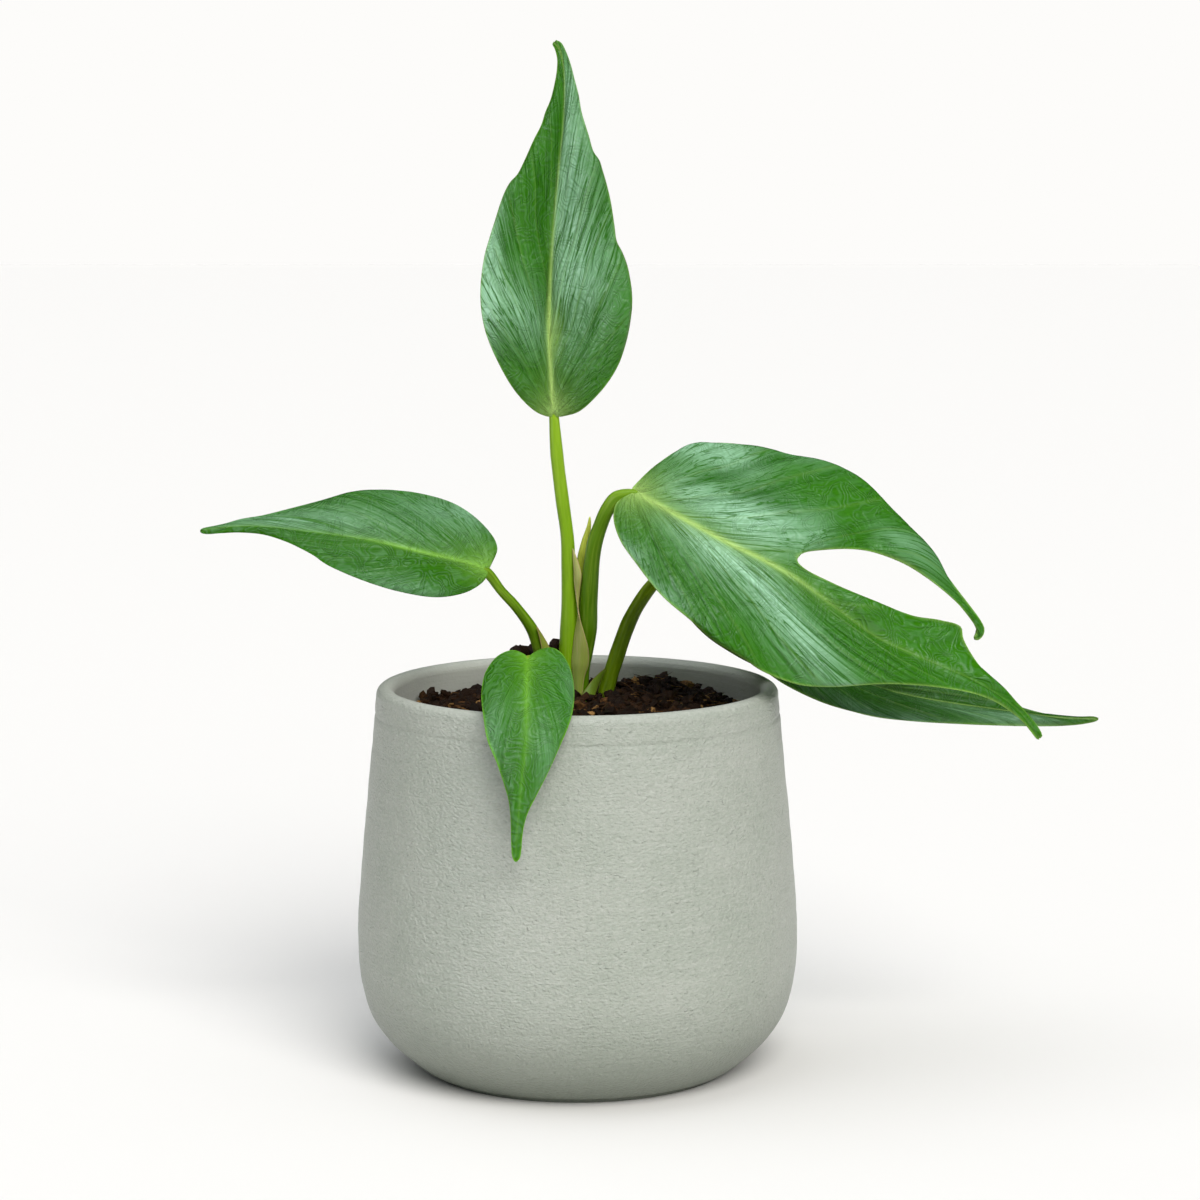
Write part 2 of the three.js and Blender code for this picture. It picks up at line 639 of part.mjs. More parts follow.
function build() {
  const group = new THREE.Group();
  const stalks = Object.values(LEAVES).map((leaf) => leaf.stalk);
  stalks.push(YOUNG_SPEAR);

  let room = rootstockSolid(CLEARANCE);
  let rootstock = rootstockSolid();
  for (const stalk of stalks) {
    const socket = solidFrom(stalkGeometry(stalk, CLEARANCE));
    room = room.add(socket);
    rootstock = rootstock.subtract(socket);
  }
  for (const shape of Object.values(SHEATHS)) {
    const slot = solidFrom(sheath(shape, CLEARANCE));
    room = room.add(slot);
    rootstock = rootstock.subtract(slot);
  }
  const soil = solidFrom(soilGeometry()).subtract(room);

  const pot = new THREE.LatheGeometry(potProfile(), POT_SEGMENTS);
  pot.rotateX(Math.PI / 2);
  group.add(piece('pot', pot, STONEWARE));
  group.add(piece('potting_soil', geometryFrom(soil), POTTING_MIX));
  group.add(piece('rootstock', geometryFrom(rootstock), ROOT_SKIN));

  for (const [name, leaf] of Object.entries(LEAVES)) {
    const blade = name === 'split' ? splitBlade(leaf) : wholeBlade(leaf);
    group.add(piece(`${name}_leaf_stalk`, stalkGeometry(leaf.stalk), STALK_SKIN));
    group.add(piece(`${name}_leaf_blade`, blade, material(leaf.colour, BLADE_ROUGHNESS)));
  }
  group.add(piece('young_spear', stalkGeometry(YOUNG_SPEAR), YOUNG_SKIN));
  for (const [name, shape] of Object.entries(SHEATHS)) {
    group.add(piece(name, sheath(shape), material(shape.colour, SHEATH_ROUGHNESS)));
  }
  return group;
}

export default build();
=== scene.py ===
"""Potted flame monstera: a young aroid with five leaves in a round-bellied stoneware planter.

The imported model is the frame: metres, +Z up, the origin at the centre of the pot's flat underside,
the front towards -Y. Shapes are worked out here in millimetres with numpy and turned to metres when
they become meshes. Each sub-assembly is a class that holds its sizes and builds and dresses its own
pieces: the pot, the potting mix, the leaves with their stalks, the young growth and the sheaths.
"""
import logging
import math
from collections.abc import Callable
from dataclasses import dataclass
from enum import Enum
from functools import partial
from typing import ClassVar

import bpy
import numpy as np
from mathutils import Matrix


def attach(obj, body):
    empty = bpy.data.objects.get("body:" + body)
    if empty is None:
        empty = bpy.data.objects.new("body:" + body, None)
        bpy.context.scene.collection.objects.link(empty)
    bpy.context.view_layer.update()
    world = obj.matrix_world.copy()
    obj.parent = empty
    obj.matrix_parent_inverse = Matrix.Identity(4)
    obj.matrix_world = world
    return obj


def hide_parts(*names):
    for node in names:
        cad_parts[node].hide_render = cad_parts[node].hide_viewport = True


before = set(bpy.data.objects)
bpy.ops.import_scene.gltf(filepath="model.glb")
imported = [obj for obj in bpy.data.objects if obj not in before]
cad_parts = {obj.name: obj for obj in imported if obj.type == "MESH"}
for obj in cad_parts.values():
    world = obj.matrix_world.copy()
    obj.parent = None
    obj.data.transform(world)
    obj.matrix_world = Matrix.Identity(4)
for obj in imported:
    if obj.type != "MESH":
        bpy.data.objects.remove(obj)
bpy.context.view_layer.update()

MILLIMETRE = 0.001
UV_UNIT = 100.0  # millimetres to one unit of every UV map here
MIDRIB_REACH = 1e-6  # millimetres within which a blade's point counts as on the midrib
BODY = "root"

logging.basicConfig(level=logging.INFO, format="%(name)s: %(message)s")
log = logging.getLogger("flame monstera")


class Slot(Enum):
    """The record's material slots."""

    POT = "pot_stoneware"
    MIX = "potting_mix"
    ROOT = "root_tissue"
    STALK = "leaf_stalk"
    BLADE = "leaf_blade"
    YOUNG = "young_growth"
    GREEN_SHEATH = "green_sheath"
    PAPERY_SHEATH = "papery_sheath"


class Side(Enum):
    """The halves of a blade, as seen on its upper face with the tip pointing up."""

    LEFT = -1
    RIGHT = 1


@dataclass(frozen=True)
class Curve:
    """A smooth curve through given points, walked by its share of length.

    It is a centripetal Catmull-Rom spline: each span is a cubic whose end slopes come from the
    neighbouring points, weighted by the square root of their distances.
    """

    points: tuple
    steps: int = 1600

    def raw(self, place: np.ndarray) -> np.ndarray:
        """Evaluates the spline by its own parameter.

        Args:
            place: parameters from 0 to 1, with equal room for each span.

        Returns:
            An array like place with a last axis of three coordinates.
        """
        given = np.asarray(self.points, float)
        knots = np.vstack([2 * given[0] - given[1], given, 2 * given[-1] - given[-2]])
        spans = len(given) - 1
        span = np.clip((np.asarray(place) * spans).astype(int), 0, spans - 1)
        weight = (np.asarray(place) * spans - span)[..., None]
        before, start, end, after = (knots[span + shift] for shift in range(4))
        lags = [np.sqrt(np.linalg.norm(b - a, axis=-1, keepdims=True)) for a, b in
                ((before, start), (start, end), (end, after))]
        leave = ((start - before) / lags[0] - (end - before) / (lags[0] + lags[1])
                 + (end - start) / lags[1]) * lags[1]
        reach = ((end - start) / lags[1] - (after - start) / (lags[1] + lags[2])
                 + (after - end) / lags[2]) * lags[1]
        square = -3 * start + 3 * end - 2 * leave - reach
        cube = 2 * start - 2 * end + leave + reach
        return start + leave * weight + square * weight**2 + cube * weight**3

    def parameter(self, share: np.ndarray) -> np.ndarray:
        """Turns shares of length into the spline's own parameter.

        Args:
            share: shares from 0 to 1.

        Returns:
            An array like share.
        """
        table = np.linspace(0, 1, self.steps)
        spans = np.linalg.norm(np.diff(self.raw(table), axis=0), axis=1)
        lengths = np.concatenate([[0], np.cumsum(spans)])
        return np.interp(share, lengths / lengths[-1], table)

    def at(self, share: np.ndarray) -> np.ndarray:
        """Gives the points at shares of the length from 0 to 1."""
        return self.raw(self.parameter(np.asarray(share, float)))

    def direction(self, share: np.ndarray) -> np.ndarray:
        """Gives the unit tangents at shares of the length, from points a little before and after.

        Args:
            share: shares from 0 to 1.

        Returns:
            An array like share with a last axis of three.
        """
        gap = 1e-3
        ahead = self.at(np.clip(np.asarray(share) + gap, 0, 1))
        return unit(ahead - self.at(np.clip(np.asarray(share) - gap, 0, 1)))

    def length(self) -> float:
        """Gives the curve's length."""
        return float(np.linalg.norm(np.diff(self.raw(np.linspace(0, 1, self.steps)), axis=0), axis=1).sum())


def unit(vectors: np.ndarray) -> np.ndarray:
    """Scales vectors along the last axis to length one; a zero vector stays zero."""
    size = np.linalg.norm(vectors, axis=-1, keepdims=True)
    return vectors / np.where(size > 1e-12, size, 1)


def bell(value: np.ndarray, width: float) -> np.ndarray:
    """A smooth bump of height one: e to the minus square of value over width."""
    return np.exp(-((value / width) ** 2))


def full_turn(segments: int) -> np.ndarray:
    """Gives the angles of a closed ring: even steps, and the first one again at the end."""
    return np.append(np.arange(segments) * (2 * math.pi / segments), 0.0)


def smooth_step(value: np.ndarray, low: float, high: float) -> np.ndarray:
    """Rises smoothly from 0 at low to 1 at high, as 3t squared minus 2t cubed."""
    share = np.clip((value - low) / (high - low), 0, 1)
    return share * share * (3 - 2 * share)


def ripple(phase: np.ndarray, count: float, seed: int, terms: int = 9) -> np.ndarray:
    """An uneven wave along one coordinate.

    It is the sum of cosines whose rates lie between half and one and a half times the count, each
    with its own random start, scaled to a spread of about one.

    Args:
        phase: the coordinate, one unit long over the whole pattern.
        count: how many waves fit in one unit on average.
        seed: picks the pattern.
        terms: how many cosines are added.

    Returns:
        An array like phase.
    """
    random = np.random.default_rng(seed)
    rates = count * random.uniform(0.5, 1.5, terms)
    starts = random.uniform(0, 2 * math.pi, terms)
    waves = (np.cos(2 * math.pi * rate * phase + start) for rate, start in zip(rates, starts))
    return sum(waves) * math.sqrt(2 / terms)


def rolling(places: tuple, wavelength: float, seed: int, terms: int = 14) -> np.ndarray:
    """A smooth random field: plane cosine waves in many directions, added and scaled to about one.

    Args:
        places: coordinate arrays, all alike in shape.
        wavelength: the typical distance between crests, in the units of the places.
        seed: picks the pattern.
        terms: how many waves are added.

    Returns:
        An array like each of the places.
    """
    random = np.random.default_rng(seed)
    headings = unit(random.normal(size=(terms, len(places))))
    rates = 2 * math.pi / (wavelength * random.uniform(0.7, 1.4, terms))
    starts = random.uniform(0, 2 * math.pi, terms)
    total = sum(np.cos(rate * sum(part * place for part, place in zip(heading, places)) + start)
                for heading, rate, start in zip(headings, rates, starts))
    return total * math.sqrt(2 / terms)


@dataclass
class Surface:
    """Sewn faces: points in millimetres, four corners a face, a UV for each corner, point values."""

    points: np.ndarray
    faces: np.ndarray
    uv: np.ndarray
    values: dict

    def normals(self) -> np.ndarray:
        """Gives unit normals at the points: the cross products of the faces' diagonals, added up.

        Returns:
            One unit vector a point.
        """
        corners = self.points[self.faces]
        across = np.cross(corners[:, 2] - corners[:, 0], corners[:, 3] - corners[:, 1])
        total = np.zeros_like(self.points)
        for corner in range(4):
            np.add.at(total, self.faces[:, corner], across)
        return unit(total)

    def border(self) -> np.ndarray:
        """Marks the points on the open edge: where a face's side has no face on its other hand.

        Returns:
            One truth value a point.
        """
        count = len(self.points)
        starts, ends = self.faces, np.roll(self.faces, -1, axis=1)
        real = starts != ends
        forward = (starts * count + ends)[real]
        backward = (ends * count + starts)[real]
        lone = ~np.isin(forward, backward)
        marks = np.zeros(count, bool)
        marks[starts[real][lone]] = True
        marks[ends[real][lone]] = True
        return marks

    def thickened(self, above: np.ndarray, below: np.ndarray, facing: np.ndarray | None = None) -> "Surface":
        """Makes a closed shell whose two faces share the open edge.

        Args:
            above: how far the upper face stands off along the normals, at each point.
            below: how far the lower face stands off against them.
            facing: directions to use in the place of the normals.

        Returns:
            The shell, with the value "under" at 1 on its lower face.
        """
        normals, border = self.normals() if facing is None else facing, self.border()
        inner = ~border
        lower = np.arange(len(self.points))
        lower[inner] = len(self.points) + np.arange(inner.sum())
        upper = self.points + normals * above[:, None]
        under = (self.points - normals * below[:, None])[inner]
        values = {name: np.concatenate([value, value[inner]]) for name, value in self.values.items()}
        values["under"] = np.concatenate([np.zeros(len(upper)), np.ones(len(under))])
        return Surface(
            np.vstack([upper, under]),
            np.vstack([self.faces, lower[self.faces][:, ::-1]]),
            np.vstack([self.uv, self.uv[:, ::-1]]),
            values,
        )


class Patchwork:
    """Grids of points that are sewn into one surface wherever their points meet."""

    def __init__(self) -> None:
        """Starts with no patch."""
        self.points: list = []
        self.faces: list = []
        self.uv: list = []
        self.values: dict = {}
        self.count = 0

    def add(self, points: np.ndarray, uv: np.ndarray, flip: bool = False, **values: np.ndarray) -> None:
        """Adds a grid of quads.

        Args:
            points: places in millimetres, shaped rows by columns by 3.
            uv: UV places in millimetres, shaped rows by columns by 2.
            flip: turns the faces' outer side round.
            **values: named point values, each shaped rows by columns.
        """
        rows, columns = points.shape[:2]
        index = np.arange(rows * columns).reshape(rows, columns) + self.count
        corners = (index[:-1, :-1], index[1:, :-1], index[1:, 1:], index[:-1, 1:])
        faces = np.stack(corners, axis=-1).reshape(-1, 4)
        self.faces.append(faces[:, ::-1] if flip else faces)
        self.points.append(points.reshape(-1, 3))
        self.uv.append(uv.reshape(-1, 2))
        for name, value in values.items():
            self.values.setdefault(name, []).append(np.broadcast_to(value, (rows, columns)).reshape(-1))
        self.count += rows * columns

    def sewn(self) -> Surface:
        """Joins points that share a place, to a ten-thousandth of a millimetre.

        A face that shrinks to a line goes, because its two sides would hide an open edge.

        Returns:
            The sewn surface.
        """
        points, faces = np.vstack(self.points), np.vstack(self.faces)
        keys = np.round(points * 1e4).astype(np.int64)
        _, first, place = np.unique(keys, axis=0, return_index=True, return_inverse=True)
        sewn = place.reshape(-1)[faces]
        whole = (sewn != np.roll(sewn, 1, axis=1)).sum(axis=1) >= 3
        whole &= (sewn[:, 0] != sewn[:, 2]) & (sewn[:, 1] != sewn[:, 3])
        values = {name: np.concatenate(parts)[first] for name, parts in self.values.items()}
        return Surface(points[first], sewn[whole], np.vstack(self.uv)[faces[whole]], values)


def joined(surfaces: list) -> Surface:
    """Puts surfaces side by side in one, with the values that all of them have.

    Args:
        surfaces: the surfaces, in their order.

    Returns:
        One surface.
    """
    starts = np.cumsum([0] + [len(surface.points) for surface in surfaces])
    names = set.intersection(*(set(surface.values) for surface in surfaces))
    return Surface(
        np.vstack([surface.points for surface in surfaces]),
        np.vstack([surface.faces + start for surface, start in zip(surfaces, starts)]),
        np.vstack([surface.uv for surface in surfaces]),
        {name: np.concatenate([surface.values[name] for surface in surfaces]) for name in names},
    )


def make_object(name: str, surface: Surface, flat_from: int | None = None) -> bpy.types.Object:
    """Turns a surface into a mesh object at the origin.

    A face whose neighbouring corners are one point becomes a triangle.

    Args:
        name: the object's name.
        surface: the sewn surface, in millimetres.
        flat_from: the face from which shading is flat; every face is smooth without it.

    Returns:
        The new object, linked into the scene.
    """
    kept = surface.faces != np.roll(surface.faces, 1, axis=1)
    corners, sizes = surface.faces[kept], kept.sum(axis=1)
    mesh = bpy.data.meshes.new(name)
    mesh.vertices.add(len(surface.points))
    mesh.vertices.foreach_set("co", (surface.points * MILLIMETRE).astype(np.float32).ravel())
    mesh.loops.add(len(corners))
    mesh.loops.foreach_set("vertex_index", corners.astype(np.int32))
    mesh.polygons.add(len(sizes))
    mesh.polygons.foreach_set("loop_start", np.concatenate([[0], np.cumsum(sizes)[:-1]]).astype(np.int32))
    smooth = np.ones(len(sizes), bool)
    if flat_from is not None:
        smooth[flat_from:] = False
    mesh.polygons.foreach_set("use_smooth", smooth)
    layer = mesh.uv_layers.new(name="UVMap")
    layer.data.foreach_set("uv", (surface.uv[kept] / UV_UNIT).astype(np.float32).ravel())
    for label, value in surface.values.items():
        attribute = mesh.attributes.new(label, "FLOAT", "POINT")
        attribute.data.foreach_set("value", value.astype(np.float32))
    mesh.update(calc_edges=True)
    piece = bpy.data.objects.new(name, mesh)
    bpy.context.scene.collection.objects.link(piece)
    return piece


def fit(piece: bpy.types.Object, node: str, material: bpy.types.Material) -> None:
    """Dresses a new piece and puts it in the place of its CAD node.

    Args:
        piece: the new object.
        node: the CAD node that it stands for.
        material: its finish.
    """
    piece.data.materials.append(material)
    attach(piece, BODY)
    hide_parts(node)
    log.info("%s stands for %s, %d faces, %s", piece.name, node, len(piece.data.polygons), material.name)


def tube(path: Curve, radii: tuple, across: tuple, rings: int, sides: int, section: Callable,
         stepped: bool = False) -> Surface:
    """A closed tapered tube with rounded ends.

    A point lies on the path plus the radius times (cosine of the angle along the cross direction
    and sine of it along the second one, which is square to the path and the first). The radius
    runs through the given radii, and over each end it closes as a quarter circle does.

    Args:
        path: the centre line.
        radii: radii in millimetres at the path's points.
        across: the direction that angle zero looks in, roughly square to the whole path.
        rings: how many rings stand along the path.
        sides: how many points go round.
        section: function of angle and share that gives a factor on the radius.
        stepped: whether the section jumps at the end of a turn, so that the step needs a wall.

    Returns:
        The tube, with the values "run", from 0 at its start to 1, and "turn", round it.
    """
    share = np.linspace(0, 1, rings)
    length = path.length()
    angle = np.append(np.linspace(0, 2 * math.pi, sides + 1), [0.0] * stepped)
    radius = np.interp(path.parameter(share), np.linspace(0, 1, len(radii)), radii)
    ends = np.minimum(share, 1 - share) * length / np.where(share < 0.5, radii[0], radii[-1])
    radius = radius * np.sqrt(np.clip(1 - (1 - np.clip(ends, 0, 1)) ** 2, 0, 1))
    forward = path.direction(share)
    first = unit(np.asarray(across, float) - forward * (forward @ np.asarray(across, float))[:, None])
    second = np.cross(forward, first)
    angles, shares = np.meshgrid(angle, share)
    reach = (radius[:, None] * section(angles, shares))[..., None]
    points = path.at(share)[:, None] + reach * (
        np.cos(angles)[..., None] * first[:, None] + np.sin(angles)[..., None] * second[:, None])
    work = Patchwork()
    uv = np.stack([angles * np.mean(radii), shares * length], axis=-1)
    work.add(points, uv, flip=True, run=shares, turn=angles / (2 * math.pi))
    return work.sewn()


def linear(colour: str) -> tuple:
    """Turns an sRGB hex colour, such as "#8a9a80", into linear RGBA.

    Args:
        colour: the hex colour, with its hash sign.

    Returns:
        Red, green, blue and an alpha of one.
    """
    parts = (int(colour[start:start + 2], 16) / 255 for start in (1, 3, 5))
    light = (part / 12.92 if part <= 0.04045 else ((part + 0.055) / 1.055) ** 2.4 for part in parts)
    return (*light, 1.0)


def add_node(
    tree: bpy.types.NodeTree, kind: str, inputs: dict | tuple = (), output: str | int = 0, stops: tuple = (),
    **settings: object
) -> bpy.types.NodeSocket | None:
    """Adds a shader node, sets its fields, and sets or links its inputs.

    Args:
        tree: the material's or world's node tree.
        kind: the node's type name, without the word ShaderNode in front.
        inputs: values in the order of the node's inputs, or a dict of them by name or number. Another
            node's output is linked, and a hex colour is made linear.
        output: the name or number of the output to give back.
        stops: places and hex colours for a colour ramp.
        **settings: the node's own fields.

    Returns:
        The chosen output, or None from a node that has none.
    """
    node = tree.nodes.new(f"ShaderNode{kind}")
    for field, value in settings.items():
        setattr(node, field, value)
    for key, value in inputs.items() if isinstance(inputs, dict) else enumerate(inputs):
        if isinstance(value, bpy.types.NodeSocket):
            tree.links.new(value, node.inputs[key])
        else:
            node.inputs[key].default_value = linear(value) if isinstance(value, str) else value
    if stops:
        ramp = node.color_ramp
        while len(ramp.elements) < len(stops):
            ramp.elements.new(1.0)
        for element, (place, colour) in zip(ramp.elements, stops):
            element.position, element.color = place, linear(colour)
    return node.outputs[output] if node.outputs else None


class Places(Enum):
    """What a pattern is drawn on: the texture coordinate's name and millimetres to one unit of it."""

    UV = ("UV", UV_UNIT)
    OBJECT = ("Object", 1 / MILLIMETRE)


@dataclass(frozen=True)
class Pattern:
    """A noise: its name, its typical width in millimetres, and how its coordinates are scaled.

    A scale below one draws the pattern out along that axis, so at 0.25 it is four times as long.
    """

    name: str
    width: float
    places: Places = Places.UV
    scale: tuple = (1.0, 1.0, 1.0)
    detail: float = 3.0
    roughness: float = 0.5
    distortion: float = 0.0


@dataclass(frozen=True)
class Layer:
    """A tint over what is below: its share goes from least to most while the value goes from low to high."""

    value: bpy.types.NodeSocket
    tint: str
    low: float = 0.0
    high: float = 1.0
    least: float = 0.0
    most: float = 1.0


@dataclass(frozen=True)
class Look:
    """What a finish makes of its patterns.

    The ground is a hex colour or an output, and the layers lie over it in order. Each relief is a
    height and its depth in millimetres, pressed in where that is negative. The sockets are further
    inputs of the shader, by name.
    """

    ground: object
    layers: tuple
    relief: tuple
    sockets: dict


@dataclass(frozen=True)
class Finish:
    """A material that is named for the real one and built from patterns of real sizes.

    The patterns are noises, and the marks are point values of the mesh that the finish reads.
    """

    name: str
    patterns: ClassVar[tuple] = ()
    marks: ClassVar[tuple] = ()

    def look(self, node: Callable, grey: dict) -> Look:
        """Works out the finish's own look, which each kind of finish does in its own way."""
        raise NotImplementedError

    def material(self) -> bpy.types.Material:
        """Builds the material: its patterns, its layers of colour, its relief and one shader.

        Returns:
            The finished material.
        """
        material = bpy.data.materials.new(self.name)
        material.use_nodes = True
        material.node_tree.nodes.clear()
        node = partial(add_node, material.node_tree)
        grey = {mark: node("Attribute", output="Fac", attribute_name=mark) for mark in self.marks}
        for pattern in self.patterns:
            source, unit_width = pattern.places.value
            place = node("Mapping", {"Vector": node("TexCoord", output=source), "Scale": pattern.scale})
            grey[pattern.name] = node("TexNoise", {
                "Vector": place, "Scale": unit_width / pattern.width, "Detail": pattern.detail,
                "Roughness": pattern.roughness, "Distortion": pattern.distortion}, "Fac")

        look = self.look(node, grey)
        colour = look.ground
        for layer in look.layers:
            share = node("MapRange", (layer.value, layer.low, layer.high, layer.least, layer.most))
            # a Mix node's colours are its inputs 6 and 7 and its output 2
            colour = node("Mix", {0: share, 6: colour, 7: layer.tint}, 2, data_type="RGBA")
        below = {}
        for height, depth in look.relief:
            below = {"Normal": node("Bump", {"Height": height, "Distance": abs(depth) * MILLIMETRE, **below},
                                    invert=depth < 0)}
        shader = node("BsdfPrincipled", {"Base Color": colour, **below, **look.sockets})
        node("OutputMaterial", {"Surface": shader})
        return material


@dataclass(frozen=True)
class LeafFinish(Finish):
    """Living blade of a glossy aroid: green tissue under a waxy skin.

    The eye sees fresh green with painted shade that darkens it between the veins and in the creases,
    a pale yellow-green midrib that fans out at the base, a thin pale margin, and a broad bluish sheen,
    part real gloss and part painted into the colour, that the fine puckering breaks up.
    The UV runs across the side veins in x and along them in y.
    """

    deep: str = "#2b6802"
    flesh: str = "#347608"
    rib: str = "#aed472"
    # the colour of the painted sheen
    bloom: str = "#a8d8b8"
    shadow: str = "#205c05"
    underside: str = "#6f9a48"
    roughness: float = 0.2
    creasing: float = 0.6
    puckering: float = 1.4
    # radians that the puckering's cosine runs through while its noise goes from 0 to 1
    swing: float = 84.0

    marks: ClassVar[tuple] = ("bloom", "valley", "rib", "under", "margin")
    patterns: ClassVar[tuple] = (
        # streaks of tissue between the fine veins, drawn out to 5 mm, and soft patches
        Pattern("streaks", 1.6, scale=(1.0, 0.3, 1.0), roughness=0.6, distortion=0.8),
        Pattern("clouds", 14.0, scale=(1.0, 0.6, 1.0), detail=2.0),
        # smooth plates drawn out to 20 mm, and the noises whose middles give creases and fine lines
        Pattern("plates", 5.0, scale=(1.0, 0.24, 1.0), detail=2.0, distortion=1.0),
        Pattern("creases", 5.5, scale=(1.0, 0.27, 1.0), detail=2.0, roughness=0.45, distortion=2.2),
        Pattern("lines", 2.6, scale=(1.0, 0.18, 1.0), detail=2.0, distortion=1.5),
        # the slow noise behind the puckering, shallow dimples, and the grain of the skin
        Pattern("puckers", 9.0, Places.OBJECT, detail=1.0, roughness=0.4, distortion=0.6),
        Pattern("dimples", 5.0, Places.OBJECT, detail=2.0, distortion=0.6),
        Pattern("grain", 0.7, scale=(1.0, 0.12, 1.0), detail=2.0),
    )

    def look(self, node: Callable, grey: dict) -> Look:
        """Breaks the painted sheen up by every pattern, then lays painted shade and veins over it.

        Args:
            node: add_node for this material's tree.
            grey: outputs of the patterns and marks, by name.

        Returns:
            The leaf's look.
        """
        streaks, clouds = grey["streaks"], grey["clouds"]
        plates = node("MapRange", (grey["plates"], 0.4, 0.52))
        # a crease or a line runs where its noise crosses one half: one minus the distance from it
        drawn = {}
        for name, core, reach in (("creases", 0.006, 0.04), ("lines", 0.0, 0.06)):
            away = node("Math", (grey[name], 0.5), operation="SUBTRACT")
            away = node("Math", (away,), operation="ABSOLUTE")
            drawn[name] = node("MapRange", (away, core, reach, 1.0, 0.0))
        lines = drawn["lines"]
        patchy = node("MapRange", (clouds, 0.38, 0.5))
        creases = node("Math", (drawn["creases"], patchy), operation="MULTIPLY")
        # worm-like puckering: the cosine of a slow noise, faint in some patches
        phase = node("Math", (grey["puckers"], self.swing), operation="MULTIPLY")
        ridges = node("MapRange", (node("Math", (phase,), operation="COSINE"), -0.5, 1.0))
        worms = node("Math", (ridges, node("MapRange", (clouds, 0.66, 0.5, 0.2, 1.0))), operation="MULTIPLY")

        # painted sheen: a bluish sheen painted into the colour, broken up by the patterns below
        painted_sheen_share = grey["bloom"]
        for value, low, high, least, most in ((streaks, 0.25, 0.75, 1.1, 1.22), (plates, 0.0, 1.0, 0.9, 1.16),
                                              (lines, 0.0, 1.0, 1.0, 0.8), (worms, 0.0, 1.0, 1.0, 0.72),
                                              (creases, 0.0, 1.0, 1.0, 0.3)):
            factor = node("MapRange", (value, low, high, least, most))
            painted_sheen_share = node("Math", (painted_sheen_share, factor), operation="MULTIPLY")
        shine = node("Math", (node("MapRange", (creases, 0.0, 1.0, 0.36, 0.1)),
                              node("MapRange", (grey["margin"], 0.1, 0.7, 1.0, 0.0))), operation="MULTIPLY")
        rough = node("MapRange", (clouds, 0.3, 0.7, self.roughness - 0.03, self.roughness + 0.07))
        return Look(
            self.deep,
            (
                Layer(streaks, self.flesh, 0.25, 0.75),
                Layer(painted_sheen_share, self.bloom),
                # a painted highlight on the puckering's ridges
                Layer(worms, self.bloom, most=0.04 * self.puckering),
                # painted shade in the fine lines, the creases and the pleats' valleys
                Layer(lines, self.shadow, most=0.3 * self.creasing),
                Layer(creases, self.shadow, most=self.creasing),
                Layer(grey["valley"], self.shadow),
                Layer(grey["rib"], self.rib),
                Layer(grey["under"], self.underside),
            ),
            ((grey["grain"], 0.02), (worms, 0.1 * self.puckering), (grey["dimples"], 0.5), (plates, 0.1),
             (creases, -0.22 * self.creasing), (lines, -0.07 * self.creasing)),
            {"Roughness": rough, "IOR": 1.46, "Specular IOR Level": shine},
        )


@dataclass(frozen=True)
class StalkFinish(Finish):
    """Fresh leaf stalk: smooth green skin over long fibres.

    The eye sees grass green with fine lighter streaks along it, yellower towards the top, and on
    older stalks dark olive blotches that follow the fibres.
    """

    low: str = "#5c7c14"
    high: str = "#7fa02e"
    streak: str = "#a9c04c"
    blotch: str = "#33500c"
    mottling: float = 0.15

    marks: ClassVar[tuple] = ("run",)
    patterns: ClassVar[tuple] = (
        # fibres far longer than they are wide, drawn a little coarser than real ones so that they show
        Pattern("fibres", 0.8, scale=(1.0, 0.04, 1.0), detail=2.0),
        Pattern("patches", 3.0, scale=(1.0, 0.3, 1.0), roughness=0.55),
    )

    def look(self, node: Callable, grey: dict) -> Look:
        """Turns from the low to the high colour along the stalk, under fibres and blotches."""
        return Look(
            self.low,
            (Layer(grey["run"], self.high, 0.45, 1.0),
             Layer(grey["fibres"], self.streak, 0.45, 0.75, most=0.3),
             Layer(grey["patches"], self.blotch, 0.45, 0.7, most=self.mottling)),
            ((grey["fibres"], 0.04),),
            {"Roughness": 0.3, "Specular IOR Level": 0.12},
        )


@dataclass(frozen=True)
class SheathFinish(Finish):
    """Leaf sheath, from live green to dry and papery.

    The eye sees thin skin with fine lines along it, a body colour that turns to the foot's colour
    near the soil, and a crisp edge of its own colour.
    """

    body: str
    foot: str
    edge: str
    roughness: float

    marks: ClassVar[tuple] = ("run", "rim")
    patterns: ClassVar[tuple] = (
        # ribs about half a millimetre apart that run the sheath's whole length, and soft patches
        Pattern("ribs", 0.45, scale=(1.0, 0.03, 1.0), roughness=0.6),
        Pattern("clouds", 4.0, scale=(1.0, 0.4, 1.0)),
    )

    def look(self, node: Callable, grey: dict) -> Look:
        """Turns from the foot's to the body's colour, under ribs and patches, with its edge on top."""
        return Look(
            self.foot,
            (Layer(grey["run"], self.body, 0.2, 0.5), Layer(grey["ribs"], self.edge, 0.45, 0.8, most=0.3),
             Layer(grey["clouds"], self.foot, 0.5, 0.8, most=0.3), Layer(grey["rim"], self.edge)),
            ((grey["ribs"], 0.1),),
            {"Roughness": self.roughness},
        )


